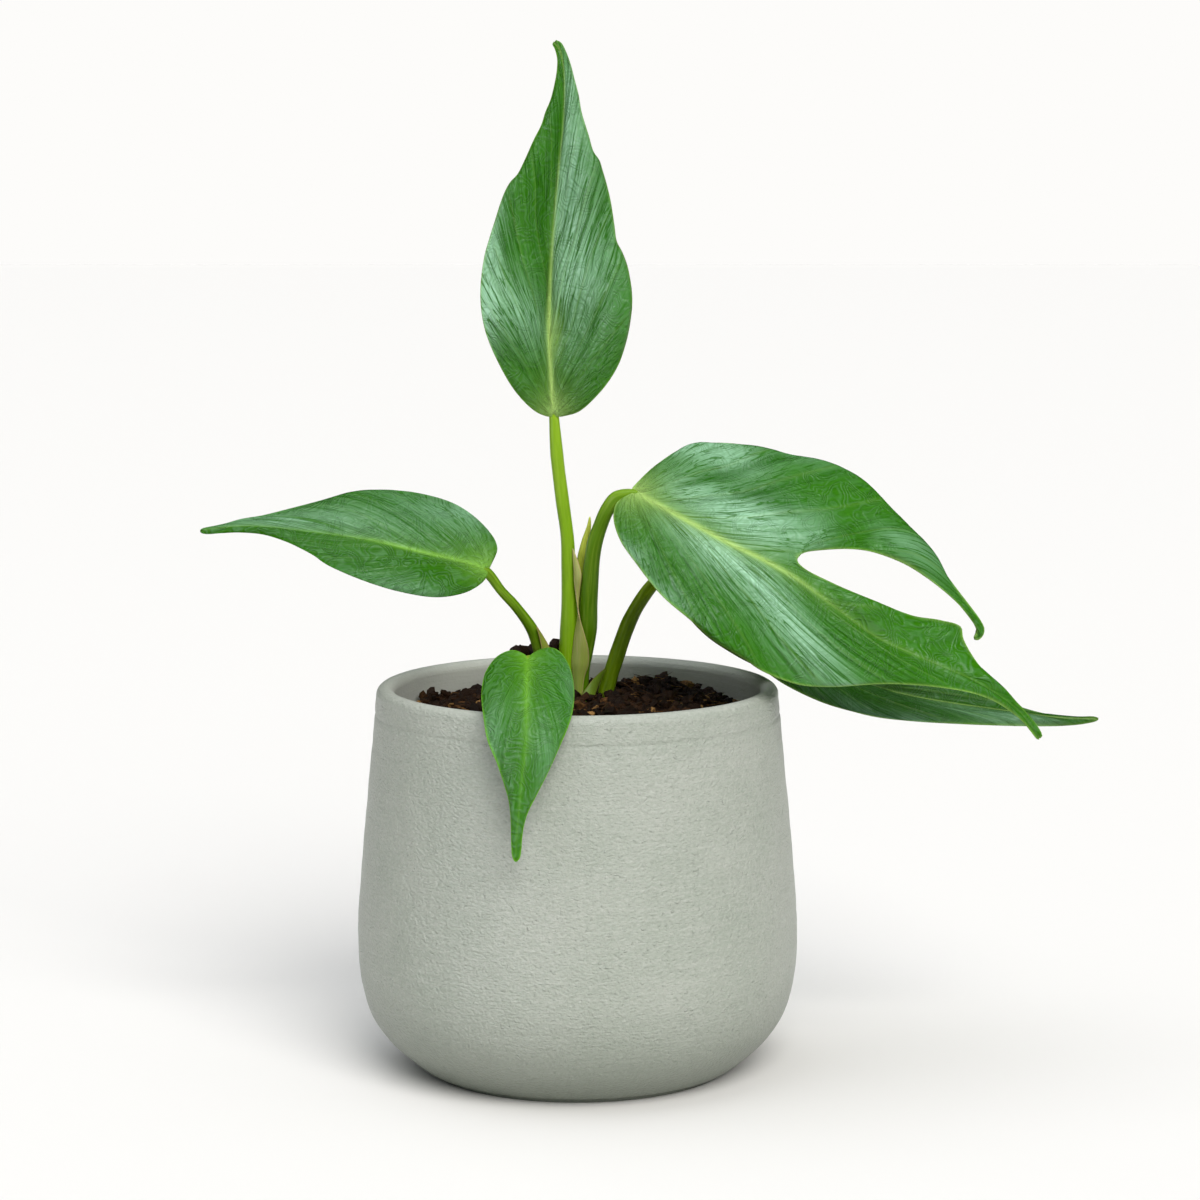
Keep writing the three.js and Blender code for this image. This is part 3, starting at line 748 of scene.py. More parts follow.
@dataclass(frozen=True)
class StonewareFinish(Finish):
    """Matte-glazed stoneware, thrown and brushed round.

    The eye sees sage grey with a slightly greener cast where the glaze lies thick, faint brush
    lines round the belly, and a skin of fine pits and grains that catches the light. Painted shade
    darkens the crease and the lower belly towards the foot, and painted light makes the lip and the
    inside paler.
    """

    name: str = "matte glazed stoneware"
    glaze: str = "#a9aea4"
    thick: str = "#949e90"
    thin: str = "#bbbeb6"
    clay_and_painted_shade: str = "#6f776a"
    # the paler colour painted on the lip and the inside: painted light
    inner: str = "#d4d5cd"
    roughness: float = 0.4

    marks: ClassVar[tuple] = ("skin", "worn")
    patterns: ClassVar[tuple] = (
        # brush lines about 1 mm apart, drawn 20 mm long round the pot
        Pattern("brush", 1.1, scale=(0.05, 1.0, 1.0), detail=4.0, roughness=0.65, distortion=0.4),
        Pattern("clouds", 30.0, Places.OBJECT),
        # flecks wider than high, grains like orange peel, and sparse pits and beads
        Pattern("flecks", 1.5, Places.OBJECT, (1.0, 1.0, 2.2), 4.0, 0.7),
        Pattern("grains", 1.2, Places.OBJECT, (1.0, 1.0, 1.5), 2.0),
        Pattern("beads", 1.5, Places.OBJECT, detail=1.0),
    )

    def look(self, node: Callable, grey: dict) -> Look:
        """Lays patches, brush lines, flecks and pits over the glaze, and keeps relief to the outer skin.

        Args:
            node: add_node for this material's tree.
            grey: outputs of the patterns and marks, by name.

        Returns:
            The stoneware's look.
        """
        skin, flecks = grey["skin"], grey["flecks"]
        pits = node("MapRange", (grey["beads"], 0.2, 0.28, 1.0, 0.0))
        beads = node("MapRange", (grey["beads"], 0.62, 0.72))
        pits, grains, beads = (node("Math", (height, skin), operation="MULTIPLY")
                               for height in (pits, grey["grains"], beads))
        return Look(
            self.glaze,
            (
                Layer(grey["clouds"], self.thick, 0.35, 0.7, most=0.4),
                Layer(grey["brush"], self.thin, 0.48, 0.7, most=0.35),
                Layer(flecks, self.thin, 0.5, 0.7, most=0.6),
                Layer(flecks, self.thick, 0.48, 0.3, most=0.6),
                Layer(pits, self.clay_and_painted_shade, most=0.2),
                # painted light: the lip and the inside are painted paler than the glaze, lighting the shaded
                # hollow
                Layer(skin, self.inner, 0.9, 0.2, most=0.8),
                # painted shade at the crease and towards the foot
                Layer(grey["worn"], self.clay_and_painted_shade),
            ),
            ((grains, 0.7), (beads, 0.16), (grey["brush"], 0.16)),
            {"Roughness": self.roughness, "Specular IOR Level": 0.42},
        )


@dataclass(frozen=True)
class MixFinish(Finish):
    """Moist potting mix of bark chips and coir.

    The eye sees nearly black brown with reddish-brown chips and a few tan flecks, dull on their
    faces and slightly wet in the hollows.
    """

    name: str = "moist bark and coir mix"
    damp: str = "#130903"
    chip: str = "#2a180a"
    dry: str = "#563819"
    fleck: str = "#a07a48"

    marks: ClassVar[tuple] = ("tint",)
    # wood grain and dust of about half a millimetre
    patterns: ClassVar[tuple] = (Pattern("dust", 0.6, Places.OBJECT, detail=4.0, roughness=0.65),)

    def look(self, node: Callable, grey: dict) -> Look:
        """Colours each chip by its own tint, a little unevenly, from damp to dry.

        Args:
            node: add_node for this material's tree.
            grey: outputs of the patterns and marks, by name.

        Returns:
            The finish's look.
        """
        uneven = node("MapRange", (grey["dust"], 0.3, 0.7, -0.12, 0.12))
        tint = node("Math", (grey["tint"], uneven), operation="ADD")
        colour = node("ValToRGB", (tint,), stops=(
            (0.0, self.damp), (0.45, self.chip), (0.8, self.dry), (1.0, self.fleck)))
        rough = node("MapRange", (grey["dust"], 0.3, 0.7, 0.5, 0.85))
        return Look(colour, (), ((grey["dust"], 0.45),), {"Roughness": rough, "Specular IOR Level": 0.2})


@dataclass(frozen=True)
class RootFinish(Finish):
    """Fleshy root skin: the eye sees tan cork with darker rings across it, dull and slightly rough."""

    name: str = "corky root skin"
    cork: str = "#b79a6a"
    ring: str = "#8a6c42"

    # rings about 1.5 mm apart along the upright stem
    patterns: ClassVar[tuple] = (Pattern("rings", 1.5, Places.OBJECT, (0.2, 0.2, 1.0)),)

    def look(self, node: Callable, grey: dict) -> Look:
        """Lays the rings over the cork, raised a little."""
        return Look(self.cork, (Layer(grey["rings"], self.ring, 0.4, 0.7),), ((grey["rings"], 0.2),),
                    {"Roughness": 0.8})


@dataclass(frozen=True)
class SweepFinish(Finish):
    """Matte white studio sweep: the eye sees an even pale floor without a reflection."""

    name: str = "matte white sweep"
    white: str = "#efedeb"

    def look(self, node: Callable, grey: dict) -> Look:
        """Gives one even colour."""
        return Look(self.white, (), (), {"Roughness": 0.9, "Specular IOR Level": 0.1})


@dataclass
class Pot:
    """Round-bellied planter with a small foot, a plain band under the rim and a rolled lip."""

    height: float = 132.8
    rim_radius: float = 69.0
    mouth_radius: float = 62.8
    foot_radius: float = 53.8
    floor_height: float = 8.0
    # radii and heights along the wall, outside up to the band and inside down to the floor
    outside: tuple = ((56.2, 2.0), (61.0, 6.0), (67.0, 12.0), (72.3, 20.5), (75.4, 33.0), (76.0, 48.0),
                      (74.75, 68.0), (72.6, 92.0), (69.9, 119.0))
    inside: tuple = ((62.8, 129.7), (66.4, 92.0), (69.4, 48.0), (69.2, 34.0), (60.5, 16.0), (46.0, 8.0))
    crease_height: float = 123.2
    crease_radius: float = 69.5
    crease_depth: float = 0.22
    crease_width: float = 0.6
    segments: int = 320
    unevenness: float = 0.05

    def profile(self) -> tuple:
        """Works out the section from the middle of the underside round the lip to the inner floor.

        Returns:
            Radii and heights, one row a point, and for each point how far it is on the textured
            outer skin, from 0 to 1.
        """
        body, hollow = (Curve(tuple((radius, 0, height) for radius, height in line))
                        for line in (self.outside, self.inside))
        lip = (self.rim_radius - self.mouth_radius) / 2
        top = self.height - lip
        turn = np.linspace(0, math.pi, 20)
        foot = np.array([[0, 0], [30, 0], [self.foot_radius - 0.8, 0], [self.foot_radius, 0.8],
                         [self.foot_radius, 1.4], [55.0, 1.7]])
        wall = body.at(np.linspace(0, 1, 110))[:, [0, 2]]
        # the band: straight up to the lip, with a crease and a faint swell 1.8 mm below it
        neck_radius, neck = self.outside[-1]
        heights = np.linspace(neck + 0.3, top, 34)[:-1]
        straight = np.interp(heights, [neck, self.crease_height, top],
                             [neck_radius, self.crease_radius, self.rim_radius])
        crease = bell(heights - self.crease_height, self.crease_width)
        swell = 0.35 * bell(heights - self.crease_height + 1.8, 0.8)
        band = np.stack([straight + self.crease_depth * (swell - crease), heights], axis=1)
        roll = np.stack([self.rim_radius - lip + lip * np.cos(turn), top + lip * np.sin(turn)], axis=1)
        bowl = hollow.at(np.linspace(0, 1, 30)[1:])[:, [0, 2]]
        middle = np.array([[20.0, self.floor_height], [0.0, self.floor_height]])
        points = np.vstack([foot, wall, band, roll, bowl, middle])
        smooth_skin = 0.15
        skin = np.concatenate([np.ones(len(foot) + len(wall) + len(band)),
                               np.linspace(1, smooth_skin, len(roll)),
                               np.full(len(bowl) + len(middle), smooth_skin)])
        return points, skin

    def surface(self) -> Surface:
        """Turns the section round the upright axis, with a hand's unevenness on the outer skin.

        Returns:
            The closed surface, with its UV and point values.
        """
        points, skin = self.profile()
        around, radius = np.meshgrid(full_turn(self.segments), points[:, 0])
        height = np.repeat(points[:, 1:], self.segments + 1, axis=1)
        x, y = radius * np.cos(around), radius * np.sin(around)
        wave = rolling((x, y, height), 16, 41) + 0.6 * rolling((x, y, height), 5, 42)
        grip = skin[:, None] * smooth_step(height, 1.8, 8) * (radius > 1)
        scale = 1 + grip * self.unevenness * wave / np.maximum(radius, 1)
        run = np.concatenate([[0], np.cumsum(np.linalg.norm(np.diff(points, axis=0), axis=1))])
        turns = np.linspace(0, 2 * math.pi, self.segments + 1) * self.rim_radius
        uv = np.stack(np.meshgrid(turns, run), axis=-1)
        work = Patchwork()
        outer = np.repeat(skin[:, None], self.segments + 1, axis=1)
        # painted shade: the crease is a little darker, and the pot darkens towards the foot
        worn = 0.12 * bell(height - self.crease_height, self.crease_width)
        worn += 0.85 * (1 - smooth_step(height, -8, 44))
        work.add(np.stack([x * scale, y * scale, height], axis=-1), uv, flip=True, skin=outer,
                 worn=worn * outer)
        return work.sewn()

    def build(self) -> None:
        """Builds the pot and dresses it in matte stoneware."""
        fit(make_object("stoneware_pot", self.surface()), "pot", StonewareFinish().material())


@dataclass
class PottingMix:
    """Bark and coir that fill the pot: a lumpy mound with loose chips and fibres on top."""

    edge_height: float = 121.5
    edge_radius: float = 63.4
    crown: float = 4.5
    # heaps: how far east and north of the pot's middle, their height and their spread
    mound: tuple = (-14.0, 12.0, 16.0, 8.0)
    rise: tuple = (31.0, 37.0, 4.2, 9.0)
    side: tuple = ((46.0, 8.6), (60.0, 16.5), (68.4, 34.0), (68.7, 48.0), (65.7, 92.0))
    chip_count: int = 1600
    crumb_count: int = 150
    fibre_count: int = 260
    # large lumps: their centres and half sizes
    clumps: tuple = ((-19.9, 9.0, 142.2, 3.6), (-7.2, 12.0, 144.4, 2.6), (-15.0, 10.0, 142.6, 3.0),
                     (-24.5, 8.5, 139.0, 3.2), (-11.4, 9.6, 143.0, 2.4), (30.0, 36.0, 127.4, 3.4))
    seed: int = 7

    def height(self, x: np.ndarray, y: np.ndarray) -> np.ndarray:
        """Gives the mix's height: a crown, two heaps shaped as bells, and lumps of three sizes.

        Args:
            x: places to the east.
            y: places to the north.

        Returns:
            An array like x.
        """
        inner = 1 - np.minimum(np.hypot(x, y) / self.edge_radius, 1) ** 2
        heaps = sum(height * bell(np.hypot(x - east, y - north), spread * math.sqrt(2))
                    for east, north, height, spread in (self.mound, self.rise))
        lumps = sum(rise * rolling((x, y), width, seed)
                    for rise, width, seed in ((0.9, 13, 11), (0.6, 5, 12), (0.3, 2.4, 13)))
        return self.edge_height + self.crown * inner + heaps + 0.7 * lumps * np.minimum(inner * 5, 1)

    def bed(self) -> Surface:
        """The closed body of the mix: rings up the pot's wall and then in to the middle.

        Returns:
            The closed surface, with its UV and point values.
        """
        brim = self.edge_radius - 0.6
        wall = np.array([(0.0, 8.6), *self.side, (brim, self.edge_height)])
        around, radius = np.meshgrid(full_turn(180), np.append(wall[:, 0], np.linspace(brim, 0, 70)[1:]))
        x, y = radius * np.cos(around), radius * np.sin(around)
        z = self.height(x, y)
        z[:len(wall)] = wall[:, 1:]
        work = Patchwork()
        work.add(np.stack([x, y, z], axis=-1), np.stack([x, y], axis=-1), flip=True,
                 tint=0.12 + 0.1 * rolling((x, y), 3, 14))
        return work.sewn()

    def scattered(self, template: Surface, places: np.ndarray, sizes: np.ndarray, tints: np.ndarray,
                  random: np.random.Generator, tilt: float, dent: float = 0.18) -> Surface:
        """Copies a small shape to many places, each copy turned, stretched and dented on its own.

        Args:
            template: the shape, about one millimetre in radius.
            places: the copies' centres.
            sizes: the copies' half sizes along their own three axes.
            tints: the copies' colours, from 0 for damp to 1 for dry.
            random: the source of turns and dents.
            tilt: how far the copies lean out of the level, from 0 to 1.
            dent: how far the corners are pushed in or out, as a share of their reach.

        Returns:
            All copies as one surface.
        """
        count, corners = len(places), len(template.points)
        spin = random.uniform(0, 2 * math.pi, count)
        lean = tilt * random.uniform(-1, 1, (2, count)) * math.pi / 2
        cs, sn = np.cos(spin), np.sin(spin)
        zero, one = np.zeros(count), np.ones(count)
        turn = np.array([[cs, -sn, zero], [sn, cs, zero], [zero, zero, one]]).transpose(2, 0, 1)
        tip = np.array([[one, zero, zero], [zero, np.cos(lean[0]), -np.sin(lean[0])],
                        [zero, np.sin(lean[0]), np.cos(lean[0])]]).transpose(2, 0, 1)
        roll = np.array([[np.cos(lean[1]), zero, np.sin(lean[1])], [zero, one, zero],
                         [-np.sin(lean[1]), zero, np.cos(lean[1])]]).transpose(2, 0, 1)
        dents = 1 + dent * random.normal(size=(count, corners, 1))
        local = template.points[None] * dents * sizes[:, None]
        points = np.einsum("nij,nmj->nmi", turn @ tip @ roll, local) + places[:, None]
        faces = template.faces[None] + (np.arange(count) * corners)[:, None, None]
        return Surface(points.reshape(-1, 3), faces.reshape(-1, 4), np.tile(template.uv, (count, 1, 1)),
                       {"tint": np.repeat(tints, corners)})

    def chip(self, tiers: int = 4, turns: int = 7) -> Surface:
        """A blunt chip: a coarse ball of a few tiers of faces, pressed towards a block's shape.

        Args:
            tiers: how many rows of faces the ball has.
            turns: how many faces go round it.

        Returns:
            The chip, about one millimetre in radius.
        """
        up, around = np.meshgrid(np.linspace(-math.pi / 2, math.pi / 2, tiers + 1), full_turn(turns),
                                 indexing="ij")
        ball = np.stack([np.cos(up) * np.cos(around), np.cos(up) * np.sin(around), np.sin(up)], axis=-1)
        work = Patchwork()
        work.add(np.sign(ball) * np.abs(ball) ** 0.7, ball[..., :2], flip=True)
        return work.sewn()

    def fibre(self) -> Surface:
        """A bent thread: a closed four-sided tube one unit long each way, thin and bowed.

        Returns:
            The thread.
        """
        along, around = np.meshgrid(np.linspace(-1, 1, 7), full_turn(4), indexing="ij")
        thin = np.sqrt(np.clip(1 - along**2, 0, 1)) ** 0.5
        points = np.stack([along, 0.25 * along**2 + thin * np.cos(around) * 0.05,
                           0.12 * np.sin(2 * along) + thin * np.sin(around) * 0.05], axis=-1)
        work = Patchwork()
        work.add(points, points[..., :2], flip=True)
        return work.sewn()

    def strewn(self, random: np.random.Generator, count: int, margin: float) -> tuple:
        """Picks places all over the mix: the root of an even draw as radius, and an even angle.

        Args:
            random: the source of the draws.
            count: how many places there are.
            margin: how far they stay away from the pot's wall.

        Returns:
            The places' x and y, and the mix's height there.
        """
        spread = np.sqrt(random.uniform(0, 1, count)) * (self.edge_radius - margin)
        angle = random.uniform(0, 2 * math.pi, count)
        x, y = spread * np.cos(angle), spread * np.sin(angle)
        return x, y, self.height(x, y)

    def chips(self, random: np.random.Generator) -> Surface:
        """Strews chips of 2 to 6 mm; one in fourteen is dry and tan.

        Args:
            random: the source of the draws.

        Returns:
            All chips as one surface.
        """
        count = self.chip_count
        x, y, ground = self.strewn(random, count, 3.2)
        length = 1.0 + 2.2 * random.beta(1.5, 3.0, count)
        width, height = random.uniform(0.45, 0.9, count), random.uniform(0.3, 0.65, count)
        sizes = length[:, None] * np.stack([np.ones(count), width, height], axis=1)
        dry = random.uniform(size=count) < 0.07
        tints = np.where(dry, random.uniform(0.7, 1.0, count), random.uniform(0.05, 0.55, count))
        places = np.stack([x, y, ground + 0.35 * length], axis=1)
        return self.scattered(self.chip(), places, sizes, tints, random, tilt=0.5)

    def lumps(self, random: np.random.Generator) -> Surface:
        """Sets the large lumps in place and strews smooth crumbs of 3 to 5 mm.

        Args:
            random: the source of the draws.

        Returns:
            All lumps as one surface.
        """
        x, y, ground = self.strewn(random, self.crumb_count, 5)
        girth = random.uniform(1.3, 2.6, self.crumb_count)
        crumbs = np.stack([x, y, ground + 0.2 * girth, girth], axis=1)
        clumps = np.vstack([np.array(self.clumps), crumbs])
        sizes = clumps[:, 3:] * np.array([[1.0, 0.85, 0.7]])
        tints = random.uniform(0.15, 0.45, len(clumps))
        return self.scattered(self.chip(9, 14), clumps[:, :3], sizes, tints, random, tilt=0.3, dent=0.08)

    def fibres(self, random: np.random.Generator) -> Surface:
        """Strews coir threads of 4 to 9 mm a little above the mix.

        Args:
            random: the source of the draws.

        Returns:
            All threads as one surface.
        """
        x, y, ground = self.strewn(random, self.fibre_count, 6)
        length = random.uniform(1.8, 4.5, self.fibre_count)
        sizes = np.stack([length, length * 0.8, np.full(self.fibre_count, 3.0)], axis=1)
        tints = random.uniform(0.5, 0.95, self.fibre_count)
        places = np.stack([x, y, ground + 1.5], axis=1)
        return self.scattered(self.fibre(), places, sizes, tints, random, tilt=0.22)

    def build(self) -> None:
        """Builds the bed, strews chips, lumps and fibres over it, and dresses all as one piece."""
        random = np.random.default_rng(self.seed)
        bed = self.bed()
        whole = joined([bed, self.chips(random), self.lumps(random), self.fibres(random)])
        piece = make_object("bark_and_coir", whole, flat_from=len(bed.faces))
        fit(piece, "potting_soil", MixFinish().material())


@dataclass(frozen=True)
class Spot:
    """A place on a blade: its half, its station along the blade, its distance from the midrib in
    millimetres, its reach along and across in millimetres, and its strength."""

    half: Side
    station: float
    distance: float
    along: float
    wide: float
    strength: float


@dataclass(frozen=True)
class Veins:
    """How a blade is veined.

    A side vein is a row of the blade's grid, and its phase from 0 at the base to 1 at the tip tells
    which. It leaves the midrib low, and sweeps towards the tip as it runs out to the margin.
    """

    seed: int
    pleats: float = 46.0
    pleat_depth: float = 0.12
    pleated: tuple = (1.0, 1.0)
    # each fold: its half, phase, depth and width, and the strength of the painted shade along it
    folds: tuple = ()
    main: tuple = ((0.36, 0.5, 0.62, 0.74, 0.85), (0.33, 0.46, 0.58, 0.7, 0.82))
    main_depth: float = 0.2
    rolling_depth: float = 0.9


@dataclass(frozen=True)
class Slit:
    """The split in a blade's left half: its inner end and the two borders that run out from it."""

    station: float
    share: float
    finger: tuple
    tongue: tuple


@dataclass
class Blade:
    """One leaf blade: two arched half sheets that meet in the midrib, with veins and puckering.

    At station s and share v of a half, a point is (1 - v) times the midrib's point at s to the power
    1.5 plus v times the margin's point at s, lifted square to both by arch times the half's width
    times 4v(1 - v). The grid's rows are the side veins: on row q the station is q to the power
    sweep / (1 + (sweep - 1) times v to the power of the bend), so a row starts low on the midrib and
    ends at q.
    """

    midrib: tuple
    left: tuple
    right: tuple
    arch: float
    veins: Veins
    rows: int = 330
    columns: int = 28
    slit: Slit | None = None
    swells: tuple = ()
    # spots where a bluish sheen is painted into the colour: painted sheen
    painted_sheen_spots: tuple = ()
    thickness: float = 0.5
    vein_lag: float = 1.5
    sweep: float = 3.3
    bend: float = 0.85
    fade: float = 0.7
    rim: float = 0.5
    fan: tuple = (0.7, 6.0)
    line: float = 1.0
    halo: tuple = (0.34, 2.6)
    pales: tuple = ()
    # spots where the colour is darkened: painted shade
    painted_shade_spots: tuple = ()
    # the midrib's groove: its depth and width, and its shoulders' height, distance from it and width
    groove: tuple = (0.06, 0.4)
    shoulder: tuple = (0.16, 1.1, 0.6)
    # how far the margin turns down, and over what width
    curl: tuple = (0.35, 1.2)
    # the midrib's ridge on the back: its height and width at the tip, and what the base adds to each
    ridge: tuple = ((0.25, 1.15), (0.6, 0.8))

    def shares(self) -> np.ndarray:
        """Gives shares from 0 to 1 that stand four times closer at both ends than in the middle."""
        even = np.linspace(0, 1, self.columns + 1)
        return even - 0.72 * np.sin(2 * math.pi * even) / (2 * math.pi)

    def vein_station(self, phase: np.ndarray, share: np.ndarray) -> np.ndarray:
        """Gives the station where the row of a phase crosses a share, as the class says."""
        return phase ** (self.sweep / (1 + (self.sweep - 1) * share**self.bend))

    def half(self, side: Side, station: np.ndarray, share: np.ndarray) -> np.ndarray:
        """Evaluates a whole half of the blade at stations and shares of one shape.

        Args:
            side: which half.
            station: stations from 0 at the base to 1 at the tip.
            share: shares from 0 at the midrib to 1 at the margin.

        Returns:
            The points.
        """
        midrib = Curve(self.midrib)
        root = midrib.at(station**self.vein_lag)
        along = midrib.direction(station**self.vein_lag)
        reach = Curve(self.right if side is Side.RIGHT else self.left).at(station) - root
        facing = unit(np.cross(reach, along) if side is Side.RIGHT else np.cross(along, reach))
        width = np.linalg.norm(reach, axis=-1)
        lift = self.arch * width * 4 * share * (1 - share)
        return root + reach * share[..., None] + facing * lift[..., None]

    def back(self, shares: np.ndarray) -> np.ndarray:
        """Gives the directions that the blade's lower face looks in, at shares of the midrib.

        Args:
            shares: shares of the midrib's length.

        Returns:
            One unit vector a share.
        """
        midrib = Curve(self.midrib)
        station = np.maximum(shares, 0.02) ** (1 / self.vein_lag)
        reach = Curve(self.right).at(station) - Curve(self.left).at(station)
        return -unit(np.cross(reach, midrib.direction(shares)))

    def beyond_slit(self, station: np.ndarray, row: np.ndarray, outer: bool) -> np.ndarray:
        """Evaluates the split half past the slit's inner end.

        Close to the slit's end the sheet is the unsplit half, pulled at its inner side to the lobe's
        border, and the pull fades across the lobe as a power of what is left. Further out it turns
        smoothly into a sheet of its own: straight between its two sides plus the blade's arch.

        Args:
            station: stations from the slit's end to the tip.
            row: shares across the finger or the tongue, counted from the midrib outwards.
            outer: True for the finger, False for the tongue.

        Returns:
            The points.
        """
        slit = self.slit
        part = np.clip((station - slit.station) / (1 - slit.station), 0, 1)
        end = self.half(Side.LEFT, np.array([slit.station]), np.array([slit.share]))[0]
        border = Curve((tuple(end), *(slit.finger if outer else slit.tongue))).at(part)
        meeting = self.half(Side.LEFT, station, np.full(station.shape, slit.share))
        if outer:
            inside, outside, pulled = border, Curve(self.left).at(station), 1 - row
            whole = self.half(Side.LEFT, station, slit.share + row * (1 - slit.share))
        else:
            inside, outside, pulled = Curve(self.midrib).at(station**self.vein_lag), border, row
            whole = self.half(Side.LEFT, station, slit.share * row)
        power = 1 + 2.2 * np.clip(1 - part / 0.35, 0, 1) ** 2
        near = whole + (border - meeting) * (pulled**power)[..., None]
        width = np.linalg.norm(outside - inside, axis=-1)
        facing = unit(np.cross(Curve(self.midrib).direction(station**self.vein_lag), outside - inside))
        lift = self.arch * width * 4 * row * (1 - row)
        own = inside + (outside - inside) * row[..., None] + facing * lift[..., None]
        return near + (own - near) * smooth_step(part, 0.08, 0.55)[..., None]

    def patches(self) -> list:
        """Lists the blade's grids: the side, the phases, the stations and the points of each.

        Returns:
            One tuple a grid.
        """
        even = np.linspace(0, 1, self.rows + 1)
        if self.slit is None:
            phase, share = np.meshgrid(even, self.shares(), indexing="ij")
            station = self.vein_station(phase, share)
            return [(side, phase, station, self.half(side, station, share)) for side in Side]
        slit = self.slit
        # one row has to pass through the slit's inner end
        meeting = slit.station ** ((1 + (self.sweep - 1) * slit.share**self.bend) / self.sweep)
        below = round(self.rows * meeting)
        even = np.append(np.linspace(0, meeting, below + 1),
                         np.linspace(meeting, 1, self.rows - below + 1)[1:])
        phase, row = np.meshgrid(even, self.shares(), indexing="ij")
        found = []
        for outer in (False, True):
            share = slit.share + row * (1 - slit.share) if outer else slit.share * row
            station = self.vein_station(phase, share)
            whole = self.half(Side.LEFT, np.minimum(station, slit.station), share)
            beyond = self.beyond_slit(np.maximum(station, slit.station), row, outer)
            points = np.where((station <= slit.station)[..., None], whole, beyond)
            found.append((Side.LEFT, phase, station, points))
        station = self.vein_station(phase, row)
        return [*found, (Side.RIGHT, phase, station, self.half(Side.RIGHT, station, row))]

    def sheet(self) -> Surface:
        """Sews the grids into one open sheet with its vein coordinates as UV and point values.

        Returns:
            The open sheet, with the values station, distance, phase and half.
        """
        midrib = Curve(self.midrib)
        length = midrib.length()
        work = Patchwork()
        for side, phase, station, points in self.patches():
            distance = np.linalg.norm(points - midrib.at(station**self.vein_lag), axis=-1)
            uv = np.stack([phase * length, distance + (0 if side is Side.LEFT else 3 * UV_UNIT)], axis=-1)
            work.add(points, uv, flip=side is Side.RIGHT, station=station, distance=distance,
                     phase=phase, half=np.full(distance.shape, float(side.value)))
        return work.sewn()

    def spots(self, spots: tuple, sheet: Surface, length: float) -> np.ndarray:
        """Adds up soft round spots: each is its strength times two bells, along and across.

        Args:
            spots: the spots.
            sheet: the sewn sheet.
            length: the midrib's length.

        Returns:
            One value a point.
        """
        total = np.zeros(len(sheet.points))
        for spot in spots:
            here = (sheet.values["half"] == spot.half.value) | (sheet.values["distance"] < MIDRIB_REACH)
            along = bell((sheet.values["station"] - spot.station) * length, spot.along)
            across = bell(sheet.values["distance"] - spot.distance, spot.wide)
            total += here * spot.strength * along * across
        return total

    def crease(self, sheet: Surface) -> tuple:
        """Finds how the two halves meet.

        Args:
            sheet: the sewn sheet.

        Returns:
            For each point, the direction it is thickened in, which near the midrib turns to the
            midrib's own, and the steepness of the halves' rise from the midrib at its station.
        """
        normals, station, distance = sheet.normals(), sheet.values["station"], sheet.values["distance"]
        middle = np.flatnonzero(distance < MIDRIB_REACH)
        middle = middle[np.argsort(station[middle])]
        shared = unit(np.stack([np.interp(station, station[middle], normals[middle, axis])
                                for axis in range(3)], axis=1))
        close = np.flatnonzero((distance > 0.2) & (distance < 1.2))
        close = close[np.argsort(station[close])]
        along = np.clip((normals * shared).sum(axis=1), 0.3, 1)
        steep = np.sqrt(1 / along[close] ** 2 - 1)
        smooth = np.convolve(np.pad(steep, 30, mode="edge"), np.full(61, 1 / 61), mode="valid")
        share = smooth_step(distance, 0, 3.5)[:, None]
        return unit(shared * (1 - share) + normals * share), np.interp(station, station[close], smooth)

    def surface(self) -> Surface:
        """Works out the closed blade: relief on both faces, and the values that its finish reads.

        The relief is the sum of a groove with two shoulders along the midrib, pleats and marked
        side veins along the rows, slow rolling, swells, and a margin that turns down.

        Returns:
            The closed surface, with its UV and point values.
        """
        sheet, veins = self.sheet(), self.veins
        length = Curve(self.midrib).length()
        station, distance, phase, half = (sheet.values[name] for name in
                                          ("station", "distance", "phase", "half"))
        edge_points = sheet.points[sheet.border()]
        # the distance to the nearest point of the margin, in parts that keep the arrays small
        edge = np.concatenate([
            np.sqrt(((part[:, None] - edge_points[None]) ** 2).sum(axis=-1).min(axis=1))
            for part in np.array_split(sheet.points, 60)])
        taper = np.clip(1 - station, 0, 1)
        place = (station * length, distance * half)
        inside = smooth_step(edge, 0, 4)
        free = smooth_step(distance, 0.6, 5)
        base = np.linalg.norm(sheet.points - np.asarray(self.midrib[0]), axis=1)

        # side veins: uneven waves along the rows, deeper on one side, and a few sharp main lines
        pleat = np.zeros(len(station))
        lines = np.zeros(len(station))
        for side, phases in zip(Side, veins.main):
            here = half == side.value
            seed = veins.seed + 5 * side.value
            wave = ripple(phase + 0.004 * rolling(place, 18, seed + 1), veins.pleats, seed)
            wave = 0.45 * wave - 1.1 * np.clip(wave - 0.75, 0, 2)
            pleat[here] = wave[here] * veins.pleated[side is Side.RIGHT]
            for start in phases:
                lines[here] += bell(phase[here] - start, 0.0055)
        pleat *= free * inside * smooth_step(base, 3, 16)
        lines *= smooth_step(distance, 1.0, 4) * inside * smooth_step(base, 4, 16)
        fine = rolling(place, 3.4, veins.seed + 3) * free * inside

